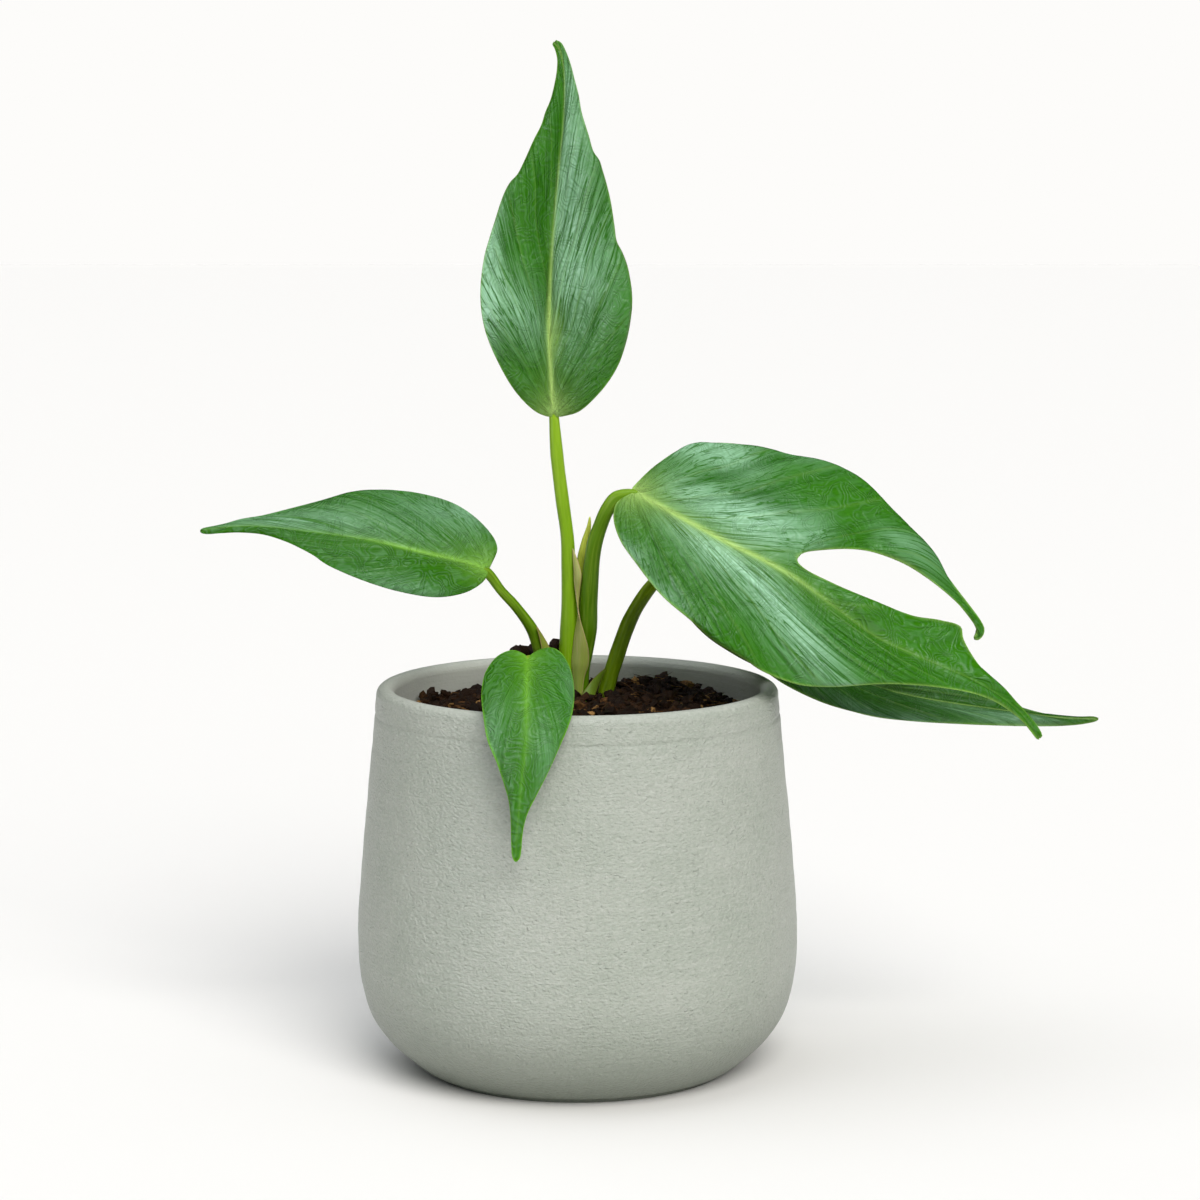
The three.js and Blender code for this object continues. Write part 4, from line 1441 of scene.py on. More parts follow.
        pleat *= 0.25 + smooth_step(rolling(place, 26, veins.seed + 4), -1.0, 1.2)
        relief = veins.pleat_depth * pleat
        relief += veins.main_depth * lines + 0.05 * fine
        # a fold is pressed in, with painted shade along it
        folded = np.zeros(len(station))
        for side, start, depth, wide, tint in veins.folds:
            valley = (half == side.value) * bell((phase - start) * length, wide) * free * inside
            valley *= smooth_step(base, 6, 24)
            relief -= depth * valley
            folded += tint * valley
        relief += veins.rolling_depth * rolling(place, 34, veins.seed + 2) * free * smooth_step(base, 8, 40)
        relief += self.spots(self.swells, sheet, length)
        raised, beside, width = self.shoulder
        sunk, narrow = self.groove
        middle = raised * bell(distance - beside, width) - sunk * bell(distance, narrow)
        relief += middle * (0.3 + 0.7 * taper)
        turned, reach = self.curl
        relief *= smooth_step(edge, 0, reach)
        relief -= turned * bell(edge, reach) * smooth_step(base, 4, 20)
        rounding = np.sqrt(1 - (1 - np.clip(edge / (0.7 * self.thickness), 0, 1)) ** 2)
        skin = 0.5 * self.thickness * rounding * (1 + 1.3 * smooth_step(station, 0.95, 1.0))
        tall, broad = (least + more * taper for least, more in self.ridge)
        ridge = tall * bell(distance, broad) * smooth_step(edge, 0, 1)

        # what the finish reads: the pale midrib, its halo and fan, the rim, the traced veins, the painted
        # shade and the painted sheen
        fading = 1 - self.fade * smooth_step(station, 0.4, 0.66)
        facing, fold = self.crease(sheet)
        line = self.line * fading * bell(distance, 0.6 + 0.75 * taper)
        halo = self.halo[0] * np.exp(-distance / (0.6 + self.halo[1] * taper)) * taper
        fan = self.fan[0] * np.exp(-((base / self.fan[1]) ** 1.3))
        pale = np.clip(self.spots(self.pales, sheet, length), 0, 1)
        rays = 0.2 * np.exp(-base / 26) * np.clip(pleat, 0, 1)
        rim = self.rim * bell(edge, 0.5)
        traced = 0.06 * np.clip(lines, 0, 1)
        rib = 1 - (1 - line) * (1 - halo) * (1 - fan) * (1 - rays) * (1 - rim) * (1 - traced) * (1 - pale)
        # painted shade: the pleats' valleys, the folds and the dark spots are darkened
        shade = np.clip(-pleat - 0.1, 0, 1) * 0.6 + folded + self.spots(self.painted_shade_spots, sheet, length)
        shade *= 1 - fan
        # painted sheen: the spots' bluish sheen, less in the pleats' valleys and at the base
        bloom = np.clip(self.spots(self.painted_sheen_spots, sheet, length), 0, 1)
        bloom *= (1 - 0.6 * np.clip(-pleat, 0, 1)) * (1 - fan)
        sheet.values = {"rib": np.clip(rib, 0, 1), "valley": np.clip(shade, 0, 1), "bloom": bloom,
                        "margin": bell(edge, 0.9)}
        wide = 0.7 + 1.7 * taper
        # a fillet that rounds the fold between the halves
        fill = 0.5 * fold * wide * np.clip(1 - distance / wide, 0, 1) ** 2 * smooth_step(edge, 0, 2)
        shell = sheet.thickened(skin + relief + fill, skin - relief * 0.9 + ridge, facing)
        shell.values["bloom"] *= 1 - shell.values["under"]
        return shell


@dataclass
class Leaf:
    """A stalk and the blade that it carries."""

    name: str
    path: tuple
    radii: tuple
    across: tuple
    blade: Blade
    finish: LeafFinish
    stalk_finish: StalkFinish
    merge: tuple = (0.5, 4.0, 9.0, 15.0)
    merge_depths: tuple = (0.7, 0.9, 0.7, 0.35)
    merge_radii: tuple = (1.7, 1.25, 0.8, 0.35)
    groove: float = 0.1
    rings: int = 170
    sides: int = 36

    def section(self, angle: np.ndarray, share: np.ndarray) -> np.ndarray:
        """Gives the stalk's section: a shallow groove at angle zero, faint flutes and uneven swells.

        Args:
            angle: angles round the stalk.
            share: shares of its length.

        Returns:
            A factor on the radius.
        """
        groove = self.groove * bell(np.minimum(angle, 2 * math.pi - angle), 0.45)
        groove *= smooth_step(share, 0.3, 0.8)
        flutes = 0.012 * np.cos(11 * angle + 1.7 * np.sin(9 * share))
        swells = 0.02 * np.sin(17 * share + 1.3) + 0.015 * np.sin(41 * share)
        return 1 - groove + flutes + swells

    def run(self) -> tuple:
        """Lets the stalk run on a little way along the back of the midrib, where it thins out.

        Returns:
            The points and radii of the whole stalk.
        """
        midrib = Curve(self.blade.midrib)
        shares = np.array(self.merge) / midrib.length()
        back = self.blade.back(shares)
        points = midrib.at(shares) + back * np.array(self.merge_depths)[:, None]
        return (*self.path[:-1], *(tuple(point) for point in points)), (*self.radii[:-1], *self.merge_radii)

    def build(self) -> None:
        """Builds and dresses the stalk and the blade."""
        path, radii = self.run()
        stalk = tube(Curve(path), radii, self.across, self.rings, self.sides, self.section)
        fit(make_object(f"{self.name}_petiole", stalk), f"{self.name}_leaf_stalk",
            self.stalk_finish.material())
        fit(make_object(f"{self.name}_lamina", self.blade.surface()), f"{self.name}_leaf_blade",
            self.finish.material())


UPRIGHT = Leaf(
    name="upright",
    path=((-3.4, 9.8, 114), (-3.5, 8.9, 125), (-3.3, 7.2, 141), (-3, 6.7, 150), (-2.75, 6.4, 158),
          (-3.1, 6, 170),
          (-3.4, 5.4, 182), (-5.2, 5, 196), (-7, 5, 211), (-8, 4.8, 223.6)),
    radii=(3.1, 3.3, 3.3, 3.2, 2.8, 2.4, 2.35, 2.3, 2.2, 2.1),
    across=(0, -1, 0),
    blade=Blade(
        midrib=((-8, 5, 224.2), (-9, 6, 238.5), (-9.6, 7, 252), (-9.3, 8.2, 266), (-8.6, 9.6, 280),
                (-7.9, 10.8, 289.3), (-7.1, 12, 299), (-5.9, 13.4, 311.2), (-4.7, 15, 322.6),
                (-4.2, 16.4, 337),
                (-4.8, 16.8, 344.2), (-5.9, 17, 348.3), (-7.8, 17, 351)),
        left=((-10, 4.6, 224.4), (-14.4, 3, 226.4), (-20.8, 1.5, 232.6), (-26.5, 0, 242.2),
              (-31.2, -1, 253.8),
              (-32.8, -0.5, 265.3), (-31.6, 2, 278.3), (-29.8, 3.4, 285), (-27.8, 5, 291.4),
              (-26.1, 6.2, 296.8),
              (-24.4, 7.4, 301.1), (-22.7, 8.4, 304), (-20.4, 9.6, 306.5), (-18, 11, 311.2),
              (-15, 12.6, 317.9),
              (-12.3, 14, 323.3), (-11, 14.8, 327.4), (-9.3, 15.6, 331.4), (-7.9, 16.2, 336.8),
              (-7.1, 16.6, 341.5), (-7, 16.8, 345.6), (-7.8, 17, 348.8), (-8.5, 17, 350.2), (-8, 17, 351.2)),
        right=((-5.8, 4.6, 224.4), (0.9, 2, 226.5), (7.7, 0, 232.7), (12.2, -0.9, 238.8), (14.5, -1.5, 243.3),
               (16.9, -1.7, 250.8), (18.2, -1.5, 257.6), (18.7, -1.2, 262.6), (18.6, -0.6, 267),
               (17.9, 0.2, 272),
               (16.9, 1, 276.4), (15.2, 2.2, 280.7), (13.5, 3.2, 284), (12.7, 4.4, 289.4), (11.5, 6, 297.1),
               (10.1, 7.4, 303.1), (8.8, 8.6, 307.5), (7.6, 9.6, 311.2), (5.6, 10.6, 314.2), (4, 11.8, 319.6),
               (1.6, 13.6, 327.4), (0.6, 14.6, 333.1), (-0.8, 15.6, 338.5), (-2.1, 16.2, 343.5),
               (-3.8, 16.8, 348.1), (-5.5, 17, 350.9), (-7.2, 17, 351.7)),
        arch=0.11,
        veins=Veins(seed=101, pleats=30.0, pleat_depth=0.08, main_depth=0.14),
        rim=0.25,
        painted_sheen_spots=(Spot(Side.RIGHT, 0.45, 12, 18, 15, 0.36), Spot(Side.RIGHT, 0.68, 8, 22, 10, 0.42),
                Spot(Side.RIGHT, 0.87, 4, 12, 6, 0.34), Spot(Side.LEFT, 0.36, 14, 11, 12, 0.42),
                Spot(Side.LEFT, 0.45, 27, 22, 6, 0.46), Spot(Side.LEFT, 0.25, 28, 10, 5, 0.3)),
        pales=(Spot(Side.RIGHT, 0.36, 1.2, 9, 3.4, 0.4), Spot(Side.LEFT, 0.4, 0.8, 12, 1.6, 0.3),
               Spot(Side.RIGHT, 0.1, 1.5, 7, 3, 0.3)),
        painted_shade_spots=(Spot(Side.LEFT, 0.7, 5, 22, 4, 0.4), Spot(Side.LEFT, 0.5, 6, 14, 4, 0.3)),
    ),
    finish=LeafFinish("glossy leaf, upright"),
    stalk_finish=StalkFinish("fresh leaf stalk, upright", low="#78a40e", high="#86ac28"),
)

LEFT = Leaf(
    name="left",
    path=((-5.8, 3.4, 114), (-6.2, 3, 125), (-8.4, 2.2, 135), (-11.8, 0.8, 141.5), (-13.9, -0.4, 147.6),
          (-15.8, -1.6, 152.4), (-21.2, -3.4, 160.2), (-25.8, -4.4, 165.4), (-30.3, -5.3, 171.4)),
    radii=(2.3, 2.4, 2.5, 2.4, 2.2, 2, 1.7, 1.6, 1.5),
    across=(0, -1, 0),
    blade=Blade(
        midrib=((-30.4, -5.2, 172.4), (-40, -7, 175.8), (-53, -8.5, 179), (-69, -9, 183), (-89.5, -8, 185.8),
                (-110, -5, 187.6), (-121, -2.8, 187), (-128.6, -2, 185.9)),
        left=((-30.7, -6.8, 171.4), (-32, -10, 169.4), (-37, -16, 166.7), (-47, -21, 165.6),
              (-60, -23, 167.9),
              (-73, -21.4, 171.8), (-83.2, -18.4, 175.8), (-86.1, -17, 177.3), (-88.5, -15.8, 178.9),
              (-93.7, -13.4, 181.4), (-98.9, -11, 183.4), (-107, -8, 185.4), (-114.7, -5.4, 185.6),
              (-121, -3.8, 185.2),
              (-126, -2.8, 184.8), (-128.2, -2.2, 185.1), (-128.8, -2, 185.7)),
        right=((-29.8, -3.6, 174), (-27.4, -1, 179.9), (-30.7, 4, 185.8), (-40.8, 9, 193.6),
               (-53.6, 11, 197.6),
               (-66, 10, 199), (-78.2, 7.4, 198.2), (-88.3, 5, 195.7), (-98.3, 2.6, 193.3),
               (-107.7, 0.8, 191.1),
               (-115.2, -0.4, 189.9), (-120.2, -1.2, 188.5), (-126, -1.7, 187.2), (-128, -1.9, 186.7),
               (-128.8, -2, 186.1)),
        arch=0.1,
        veins=Veins(seed=202, pleats=26.0, pleat_depth=0.06, main_depth=0.12),
        rows=290,
        halo=(0.4, 3.2),
        painted_sheen_spots=(Spot(Side.RIGHT, 0.25, 20, 20, 9, 0.3), Spot(Side.RIGHT, 0.55, 6, 24, 9, 0.16),
                Spot(Side.RIGHT, 0.8, 4, 16, 6, 0.3), Spot(Side.LEFT, 0.3, 22, 20, 5, 0.2)),
        line=0.6,
        rim=0.05,
    ),
    finish=LeafFinish("glossy leaf, left", deep="#286004", flesh="#306f08", rib="#8cc44e", creasing=0.3,
                      puckering=2.2),
    stalk_finish=StalkFinish("fresh leaf stalk, left", low="#557a06", high="#6b9418", mottling=0.45),
)

FRONT = Leaf(
    name="front",
    path=((-1.4, 1.2, 114), (-2.4, -0.6, 123), (-4.2, -7, 130.5), (-7.6, -18, 137.5),
          (-11.5, -31, 143), (-15.6, -44.7, 148)),
    radii=(1.8, 1.9, 1.9, 1.8, 1.7, 1.6),
    across=(1, 0, 0),
    blade=Blade(
        midrib=((-15.9, -45.6, 148.6), (-15.9, -58, 144.9), (-15.9, -69, 138.5), (-16, -79.5, 125.6),
                (-17.5, -83.6, 111.8), (-18.6, -84.6, 100), (-19.1, -84.8, 94), (-19.2, -84.6, 88.9)),
        left=((-14.6, -45.6, 148.8), (-12, -44, 150.8), (-8.4, -43.6, 151.7), (-5, -46, 150.4),
              (-1.8, -51.5, 146), (-0.4, -61, 139.8), (-1.4, -71.5, 133), (-4.8, -76.5, 125),
              (-8.6, -80, 117),
              (-12.6, -82.3, 109.3), (-15.1, -83.4, 104.4), (-16.4, -84, 100.2), (-17, -84.3, 96.3),
              (-17.3, -84.4, 92.4), (-17.9, -84.5, 89.6), (-19, -84.6, 88.4)),
        right=((-17.2, -45.6, 148.8), (-20.9, -44, 150.8), (-25.5, -45, 149.5), (-29.7, -50.5, 145.2),
               (-31, -60, 139.6), (-30, -71, 133), (-28.6, -75.5, 126.4), (-25.3, -79, 119),
               (-21.7, -82.6, 108.4), (-21.1, -83.6, 103.7), (-20.9, -84, 98.9), (-20.8, -84.4, 94.1),
               (-20.5, -84.5, 90.6), (-19.8, -84.6, 88.9), (-19.2, -84.6, 88.4)),
        arch=0.1,
        veins=Veins(seed=303, pleats=20.0, pleat_depth=0.03, main_depth=0.05, rolling_depth=0.45),
        rows=250,
        fan=(0.4, 4.0),
        line=0.35,
        rim=0.8,
        halo=(0.6, 3.0),
        painted_sheen_spots=(Spot(Side.RIGHT, 0.53, 13, 9, 6, 0.16), Spot(Side.LEFT, 0.63, 8, 8, 5, 0.14),
                Spot(Side.LEFT, 0.3, 15, 14, 5, 0.12)),
    ),
    finish=LeafFinish("glossy leaf, front", deep="#2a6604", flesh="#35760a", rib="#7cbc38", creasing=0.15,
                      puckering=1.9),
    stalk_finish=StalkFinish("fresh leaf stalk, front"),
)

SPLIT = Leaf(
    name="split",
    path=((1.2, 8.2, 114), (1, 8.2, 125), (1.3, 7.9, 136), (2.7, 7, 144.5), (3.5, 5.6, 151.5),
          (3.85, 4.3, 160),
          (4.7, 1.6, 172), (6, -1.2, 181.5), (7.7, -3.2, 187.2), (10.4, -6, 193.8), (13.6, -7.3, 197.8),
          (17.4, -7.8, 199.4)),
    radii=(2.6, 2.7, 2.8, 3.0, 3.2, 3.1, 2.85, 2.65, 2.45, 2.4, 2.3, 2.1),
    across=(0, -1, 0),
    blade=Blade(
        midrib=((19.2, -8.1, 199.6), (28.7, -13, 194.8), (49, -19, 184.3), (62.7, -22, 177.9),
                (73, -23.5, 172.2),
                (87, -25, 162.1), (100, -26, 152.8), (117, -27, 145.1), (134, -28, 137.5), (147, -28, 129),
                (155.6, -27, 118.7)),
        left=((18.6, -7.2, 201), (27.5, 0, 208.9), (35.8, 6, 213.5), (46.6, 11, 215.1), (57.4, 14, 214.2),
              (71.4, 15, 211), (85.4, 14, 208.3), (97.9, 11, 202.4), (108.4, 7, 192.4), (117.7, 3, 181.8),
              (128.7, -4.4, 167.6), (134.9, -7.6, 159.6), (137.3, -9, 156.2), (138.6, -9.6, 153.2),
              (138, -10, 150.8), (136.3, -10.2, 149.5), (135, -10.3, 149.7)),
        right=((18.4, -9.6, 198), (15.6, -11, 197.6), (13.2, -12.6, 196.2), (12.2, -15, 192),
               (14.2, -19, 185),
               (19.6, -24, 177.5), (28.4, -29, 167), (38, -33, 159.2), (46, -35.2, 152.4), (55.6, -36, 146.8),
               (61.5, -36, 142.8), (73.7, -35, 138), (84, -34, 137), (103.8, -33, 137.9), (121, -32, 136.6),
               (134, -31, 134), (141.6, -30, 130.6), (149.2, -28.5, 124.6), (153.4, -27.6, 119.6),
               (154.6, -27.2, 118.2), (155.5, -27, 118)),
        arch=0.09,
        veins=Veins(seed=404, pleats=40.0, pleat_depth=0.13, pleated=(0.55, 1.25),
                    folds=((Side.LEFT, 0.4, 0.9, 3.4, 0.6), (Side.LEFT, 0.52, 0.5, 2.6, 0.3),
                           (Side.RIGHT, 0.3, 0.4, 1.6, 0.35), (Side.RIGHT, 0.42, 0.35, 1.4, 0.3))),
        rows=420,
        columns=26,
        fan=(0.7, 6.0),
        line=0.85,
        fade=0.93,
        halo=(0.42, 3.6),
        slit=Slit(
            station=0.516,
            share=0.12,
            finger=((74.5, -20, 179.5), (76.4, -19.2, 180.3), (81.5, -16.5, 180.8), (91.8, -13.5, 181),
                    (99.2, -12, 180),
                    (110.5, -10, 175.8), (119, -9, 170.5), (125.3, -8.6, 165.6), (129.6, -8.8, 161.4),
                    (133, -9.2, 157.2), (135.2, -9.6, 154.2), (135.8, -9.9, 152.4), (135.5, -10.1, 151.2),
                    (134.9, -10.3, 150.3)),
            tongue=((74.2, -20.7, 177.7), (75.4, -21.1, 176.3), (77.8, -21.6, 174.6), (83.6, -22.1, 171.7),
                    (96.6, -21.8, 165.8), (113, -20.6, 159.5),
                    (122, -20, 158), (129.4, -20, 155.6), (130.4, -21, 151.4), (134.4, -24, 144.3),
                    (138, -25, 140.2), (147, -27, 131.2), (152.4, -27.4, 125.9), (156.2, -27, 120.4),
                    (156.5, -26.9, 119),
                    (155.9, -26.9, 118.3)),
        ),
        painted_sheen_spots=(Spot(Side.LEFT, 0.15, 28, 16, 7, 0.45), Spot(Side.LEFT, 0.27, 36, 16, 10, 0.42),
                Spot(Side.LEFT, 0.26, 10, 20, 8, 0.45), Spot(Side.LEFT, 0.4, 13, 14, 10, 0.56),
                Spot(Side.LEFT, 0.52, 18, 10, 9, 0.26), Spot(Side.LEFT, 0.42, 52, 14, 8, 0.18),
                Spot(Side.LEFT, 0.74, 38, 16, 5, 0.25), Spot(Side.RIGHT, 0.12, 21, 12, 4, 0.3),
                Spot(Side.RIGHT, 0.22, 28, 10, 4, 0.26), Spot(Side.RIGHT, 0.26, 4, 16, 5, 0.4),
                Spot(Side.RIGHT, 0.37, 7, 14, 8, 0.5), Spot(Side.RIGHT, 0.47, 12, 11, 9, 0.52),
                Spot(Side.RIGHT, 0.55, 22, 10, 8, 0.5), Spot(Side.RIGHT, 0.63, 29, 8, 5, 0.25)),
        painted_shade_spots=(Spot(Side.LEFT, 0.4, 23, 12, 5, 0.6),),
    ),
    finish=LeafFinish("glossy leaf, split", creasing=0.42),
    stalk_finish=StalkFinish("fresh leaf stalk, split", low="#4f7804", high="#6d9a1c"),
)

REAR = Leaf(
    name="rear",
    path=((6.6, 12.6, 114), (8.4, 15, 122), (10.6, 16, 130.5), (13.7, 16.5, 140.3), (18.2, 17, 152.5),
          (22.6, 17.6, 160.2), (27, 18.6, 165.6), (31, 19.4, 169.4)),
    radii=(2.8, 2.9, 2.8, 2.7, 2.6, 2.4, 2.2, 2),
    across=(0, -1, 0),
    blade=Blade(
        midrib=((33, 20, 170.2), (43, 23, 160.6), (57, 26, 148), (74.6, 27, 138), (95.7, 26, 129.5),
                (120, 23, 123.8), (147.6, 18, 120.4), (168, 14, 118.4), (181, 12, 118.4)),
        left=((33.8, 21.6, 171), (43, 32, 169.6), (57.5, 42, 163.3), (75.6, 47, 155.5), (97, 47, 145.8),
              (116.4, 42, 136.4), (135.3, 34, 127.9), (154.8, 25, 121), (168, 17.6, 118.8), (176, 14, 119),
              (180.2, 12.4, 119.2),
              (181.3, 12, 118.8)),
        right=((32.4, 18.4, 169.8), (31.3, 15, 166.3), (35.4, 11, 158.4), (44, 8, 148.8), (54.3, 6, 142),
               (64.3, 5, 136.8), (71.8, 4.6, 131.8), (85, 4, 125.6), (98.3, 4.5, 121.8), (112.6, 6, 119.2),
               (134, 9, 117.3), (155.7, 11.6, 116.1), (168, 12, 116), (176, 12, 116.6), (180.2, 11.9, 117.6),
               (181.3, 11.9, 118.3)),
        arch=0.07,
        veins=Veins(seed=505, pleats=34.0, pleat_depth=0.08),
        rim=0.25,
        painted_sheen_spots=(Spot(Side.RIGHT, 0.62, 28, 26, 5, 0.25), Spot(Side.RIGHT, 0.82, 10, 20, 7, 0.22)),
    ),
    finish=LeafFinish("glossy leaf, rear", deep="#1f4c04", flesh="#2c5e08"),
    # painted light: the top colour is partly the stalk's own and partly made lighter to offset the split
    # leaf's shadow
    stalk_finish=StalkFinish("mottled leaf stalk, rear", low="#648204", high="#9ab416", mottling=0.5),
)


@dataclass
class YoungSpear:
    """The next leaf, still rolled up: a slim scroll that tapers to a point."""

    path: tuple = ((-0.4, 13, 114), (-0.4, 12.8, 125), (0, 11.8, 142), (0.5, 10, 158), (1, 7.6, 171),
                   (1.9, 6.6, 177), (2.9, 5.8, 181.8), (4, 4.9, 186.8), (4.3, 4.5, 190.2))
    radii: tuple = (1.5, 1.6, 1.6, 1.6, 1.8, 1.65, 1.35, 0.75, 0.25)
    overlap: float = 0.16

    def section(self, angle: np.ndarray, share: np.ndarray) -> np.ndarray:
        """Gives a scroll: the radius grows round one turn and steps back at the free edge."""
        return 1 + self.overlap * (angle / (2 * math.pi) - 0.5) + 0 * share

    def build(self) -> None:
        """Builds the spear and dresses it in pale young green."""
        surface = tube(Curve(self.path), self.radii, (0.5, -1, 0), 130, 30, self.section, stepped=True)
        finish = StalkFinish("rolled young leaf", low="#b0c03c", high="#c4cf48", streak="#dce07c",
                             blotch="#7f9420", mottling=0.4)
        fit(make_object("rolled_young_leaf", surface), "young_spear", finish.material())


@dataclass
class Sheath:
    """A thin leaf sheath between two edge curves, bowed towards the front and fluted lengthwise."""

    name: str
    node: str
    left: tuple
    right: tuple
    slot: Slot
    finish: SheathFinish
    bow: float = 0.22
    towards: tuple = (0.0, -1.0, 0.0)
    thickness: float = 0.32
    flutes: float = 0.06
    rows: int = 120
    columns: int = 20

    def surface(self) -> Surface:
        """Works out the closed sheet: between the edges, plus the bow times the width times 4v(1-v).

        Returns:
            The closed surface, with its UV and point values.
        """
        share = np.linspace(0, 1, self.rows + 1)
        across = np.linspace(0, 1, self.columns + 1)
        left, right = Curve(self.left).at(share)[:, None], Curve(self.right).at(share)[:, None]
        side = right - left
        width = np.linalg.norm(side, axis=-1, keepdims=True)
        row = across[None, :, None]
        points = left + side * row + np.asarray(self.towards) * (self.bow * width * 4 * row * (1 - row))
        length = Curve(self.left).length()
        shares, columns = np.meshgrid(share, across, indexing="ij")
        uv = np.stack([columns * width[:, :, 0].mean(), shares * length], axis=-1)
        edge = np.minimum(columns, 1 - columns) * width[..., 0]
        edge = np.minimum(edge, np.minimum(shares, 1 - shares) * length)
        work = Patchwork()
        # seven flutes that lean a little as they run along the sheath
        lines = np.cos(columns * 2 * math.pi * 7 + 3 * shares)
        work.add(points, uv, flip=True, run=shares, edge=edge, lines=lines)
        sheet = work.sewn()
        edge, lines = sheet.values.pop("edge"), sheet.values.pop("lines")
        skin = 0.5 * self.thickness * np.sqrt(1 - (1 - np.clip(edge / 0.25, 0, 1)) ** 2)
        relief = self.flutes * lines * smooth_step(edge, 0, 0.5)
        sheet.values["rim"] = 0.8 * bell(edge, 0.28)
        return sheet.thickened(skin + relief, skin - relief)

    def build(self) -> None:
        """Builds and dresses the sheath."""
        fit(make_object(self.name, self.surface()), self.node, self.finish.material())


SHEATHS = (
    Sheath(
        "papery_sheath", "dry_sheath",
        left=((-0.2, 4.8, 124), (-1.2, 4.7, 130.5), (-1.9, 4.5, 136), (-2.2, 4.2, 139), (-1.9, 4, 143),
              (-1.4, 3.8, 147.4), (-0.7, 3.8, 151.7), (0.1, 3.6, 156.1), (0.3, 3.2, 158.8), (0.8, 1.8, 165),
              (1.4, 0.8, 169.6), (1.2, 1.2, 171.7), (0.1, 2.4, 175.3), (-1.5, 3.2, 179.2)),
        right=((1.8, 4.8, 124), (1.9, 4.5, 130.5), (2.7, 4, 135.2), (3.8, 3.6, 138.4), (4, 3, 142.3),
               (3.6, 2.2, 145.5), (2.8, 1.6, 148.6), (1.3, 1.2, 153.8), (0.2, 1.4, 158.2), (-0.6, 2.2, 163.2),
               (-1.2, 2.6, 167.9), (-1.3, 2.8, 171), (-1.5, 3, 174.4), (-1.7, 3.2, 179.2)),
        slot=Slot.PAPERY_SHEATH,
        finish=SheathFinish("dry papery sheath", body="#98a04a", foot="#829834", edge="#d4b48a",
                            roughness=0.55),
    ),
    Sheath(
        "pink_edged_sheath", "left_stalk_sheath",
        left=((-10.6, -1.2, 134), (-11.9, -2.4, 140), (-12.4, -3.2, 146), (-13.2, -3.7, 150),
              (-14, -4.1, 153)),
        right=((-6.8, -1.2, 134), (-8, -1.2, 140), (-9.7, -1.6, 146), (-11.8, -2.8, 150), (-13.6, -3.9, 153)),
        slot=Slot.GREEN_SHEATH,
        finish=SheathFinish("green sheath with a drying edge", body="#7c8e26", foot="#6c8c20", edge="#b08060",
                            roughness=0.5),
    ),
    Sheath(
        "olive_scale", "rear_stalk_sheath",
        left=((-0.2, 2.6, 122.5), (0.6, 2.2, 127), (4.8, 4.8, 133), (9.4, 13.2, 136.2)),
        right=((4.6, 3.2, 122.5), (5.6, 3.2, 127), (7.6, 7.6, 131.5), (9.8, 13.6, 135.8)),
        slot=Slot.GREEN_SHEATH,
        finish=SheathFinish("olive scale leaf", body="#587216", foot="#62801a", edge="#7c7030",
                            roughness=0.5),
    ),
)


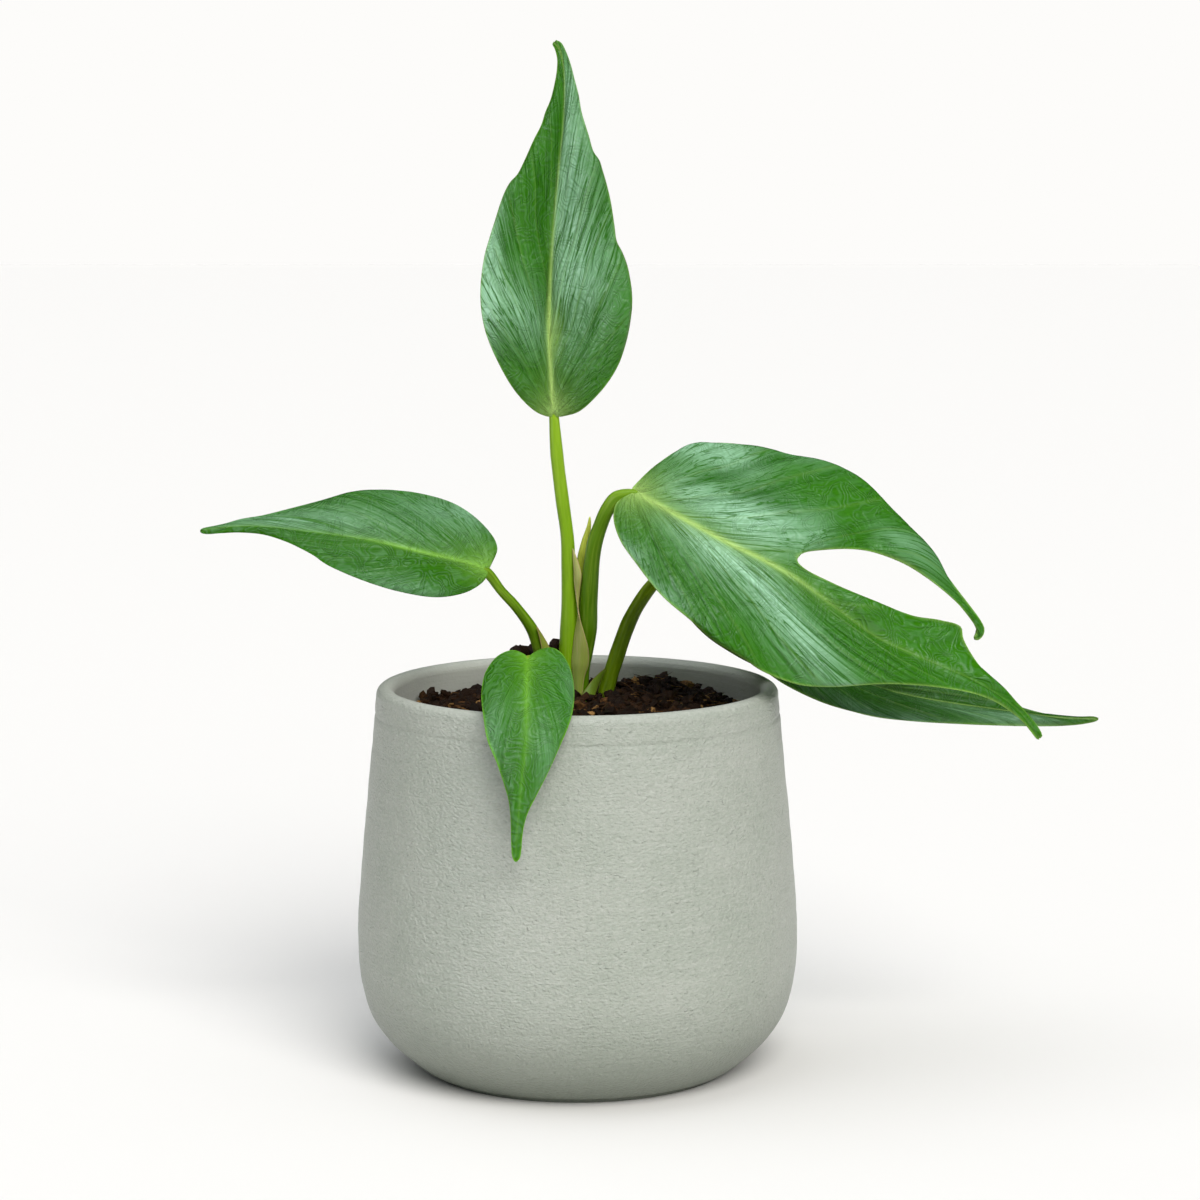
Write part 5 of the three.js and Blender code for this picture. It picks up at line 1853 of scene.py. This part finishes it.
@dataclass
class Studio:
    """Plain pale floor, soft light and the photograph's viewing angle."""

    eye: tuple = (0.007742, -1.109118, 0.310182)
    tilt_down: float = 7.62
    lens: float = 97.99
    backdrop: str = "#fdfcfa"
    sky: str = "#f7fafc"
    floor_reach: float = 9.0

    def sun(self, name: str, heading: tuple, strength: float, spread: float, colour: str,
            glints: bool = True, diffuse: bool = True) -> None:
        """Adds a soft distant light.

        Args:
            name: the light's name.
            heading: where the light comes from, as seen from the plant.
            strength: its power on a square surface.
            spread: the angle that it fills in degrees, which softens its shadows.
            colour: its sRGB hex colour.
            glints: whether glossy surfaces mirror it.
            diffuse: whether it lights matte surfaces.
        """
        light = bpy.data.lights.new(name, "SUN")
        light.energy, light.angle, light.color = strength, math.radians(spread), linear(colour)[:3]
        lamp = bpy.data.objects.new(name, light)
        east, north, up = unit(np.asarray(heading, float))
        lamp.rotation_euler = (math.acos(up), 0, math.atan2(north, east) + math.pi / 2)
        lamp.visible_glossy, lamp.visible_diffuse = glints, diffuse
        bpy.context.scene.collection.objects.link(lamp)

    def build(self) -> None:
        """Sets up the camera, the lights, the surroundings and the floor."""
        scene = bpy.context.scene
        camera = bpy.data.cameras.new("view")
        camera.lens, camera.sensor_width = self.lens, 36.0
        viewer = bpy.data.objects.new("view", camera)
        viewer.location = self.eye
        viewer.rotation_euler = (math.radians(90 - self.tilt_down), 0, 0)
        scene.collection.objects.link(viewer)
        scene.camera = viewer
        scene.view_settings.view_transform = "Standard"

        self.sun("overhead softbox", (-0.35, 0.05, 1.0), 0.75, 62, "#f6fbff")
        self.sun("front fill", (0.26, -0.72, 0.65), 2.65, 40, "#fffdfa", glints=False)
        self.sun("front softbox", (0.05, -0.62, 0.78), 1.2, 38, "#f4faff", diffuse=False)
        self.sun("left strip light", (-0.74, -0.66, 0.22), 1.7, 34, "#eaf4ff", diffuse=False)
        self.sun("right strip light", (0.7, -0.7, 0.3), 0.3, 40, "#f2f8ff", diffuse=False)

        world = bpy.data.worlds.new("white studio")
        scene.world = world
        world.use_nodes = True
        world.cycles_visibility.glossy = False
        tree = world.node_tree
        tree.nodes.clear()
        node = partial(add_node, tree)
        seen = node("LightPath", output="Is Camera Ray")
        upward = node("SeparateXYZ", (node("TexCoord", output="Generated"),), "Z")
        glow = node("MapRange", (upward, 0.25, 0.85, 0.02, 0.65), interpolation_type="SMOOTHSTEP")
        around = node("Background", {"Color": self.sky, "Strength": glow})
        behind = node("Background", {"Color": self.backdrop, "Strength": 1.0})
        node("OutputWorld", {"Surface": node("MixShader", (seen, around, behind))})

        ends = np.array([-1, 1]) * self.floor_reach / MILLIMETRE
        places = np.stack([*np.meshgrid(ends, ends, indexing="ij"), np.zeros((2, 2))], axis=-1)
        work = Patchwork()
        work.add(places, places[..., :2])
        floor = make_object("floor", work.sewn())
        floor.data.materials.append(SweepFinish().material())


def dress_rootstock() -> None:
    """Gives the buried stem and roots, which keep their CAD shape, their corky skin."""
    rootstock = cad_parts["rootstock"]
    rootstock.data.materials.clear()
    rootstock.data.materials.append(RootFinish().material())
    log.info("rootstock keeps its CAD mesh, corky root skin")


def note_sizes() -> None:
    """Updates the view layer."""
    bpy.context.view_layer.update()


def main() -> None:
    """Builds the studio and every sub-assembly in order, and updates the view layer."""
    Studio().build()
    Pot().build()
    PottingMix().build()
    dress_rootstock()
    for leaf in (UPRIGHT, LEFT, FRONT, SPLIT, REAR):
        leaf.build()
    YoungSpear().build()
    for sheath in SHEATHS:
        sheath.build()
    note_sizes()


if __name__ == "__main__":
    main()
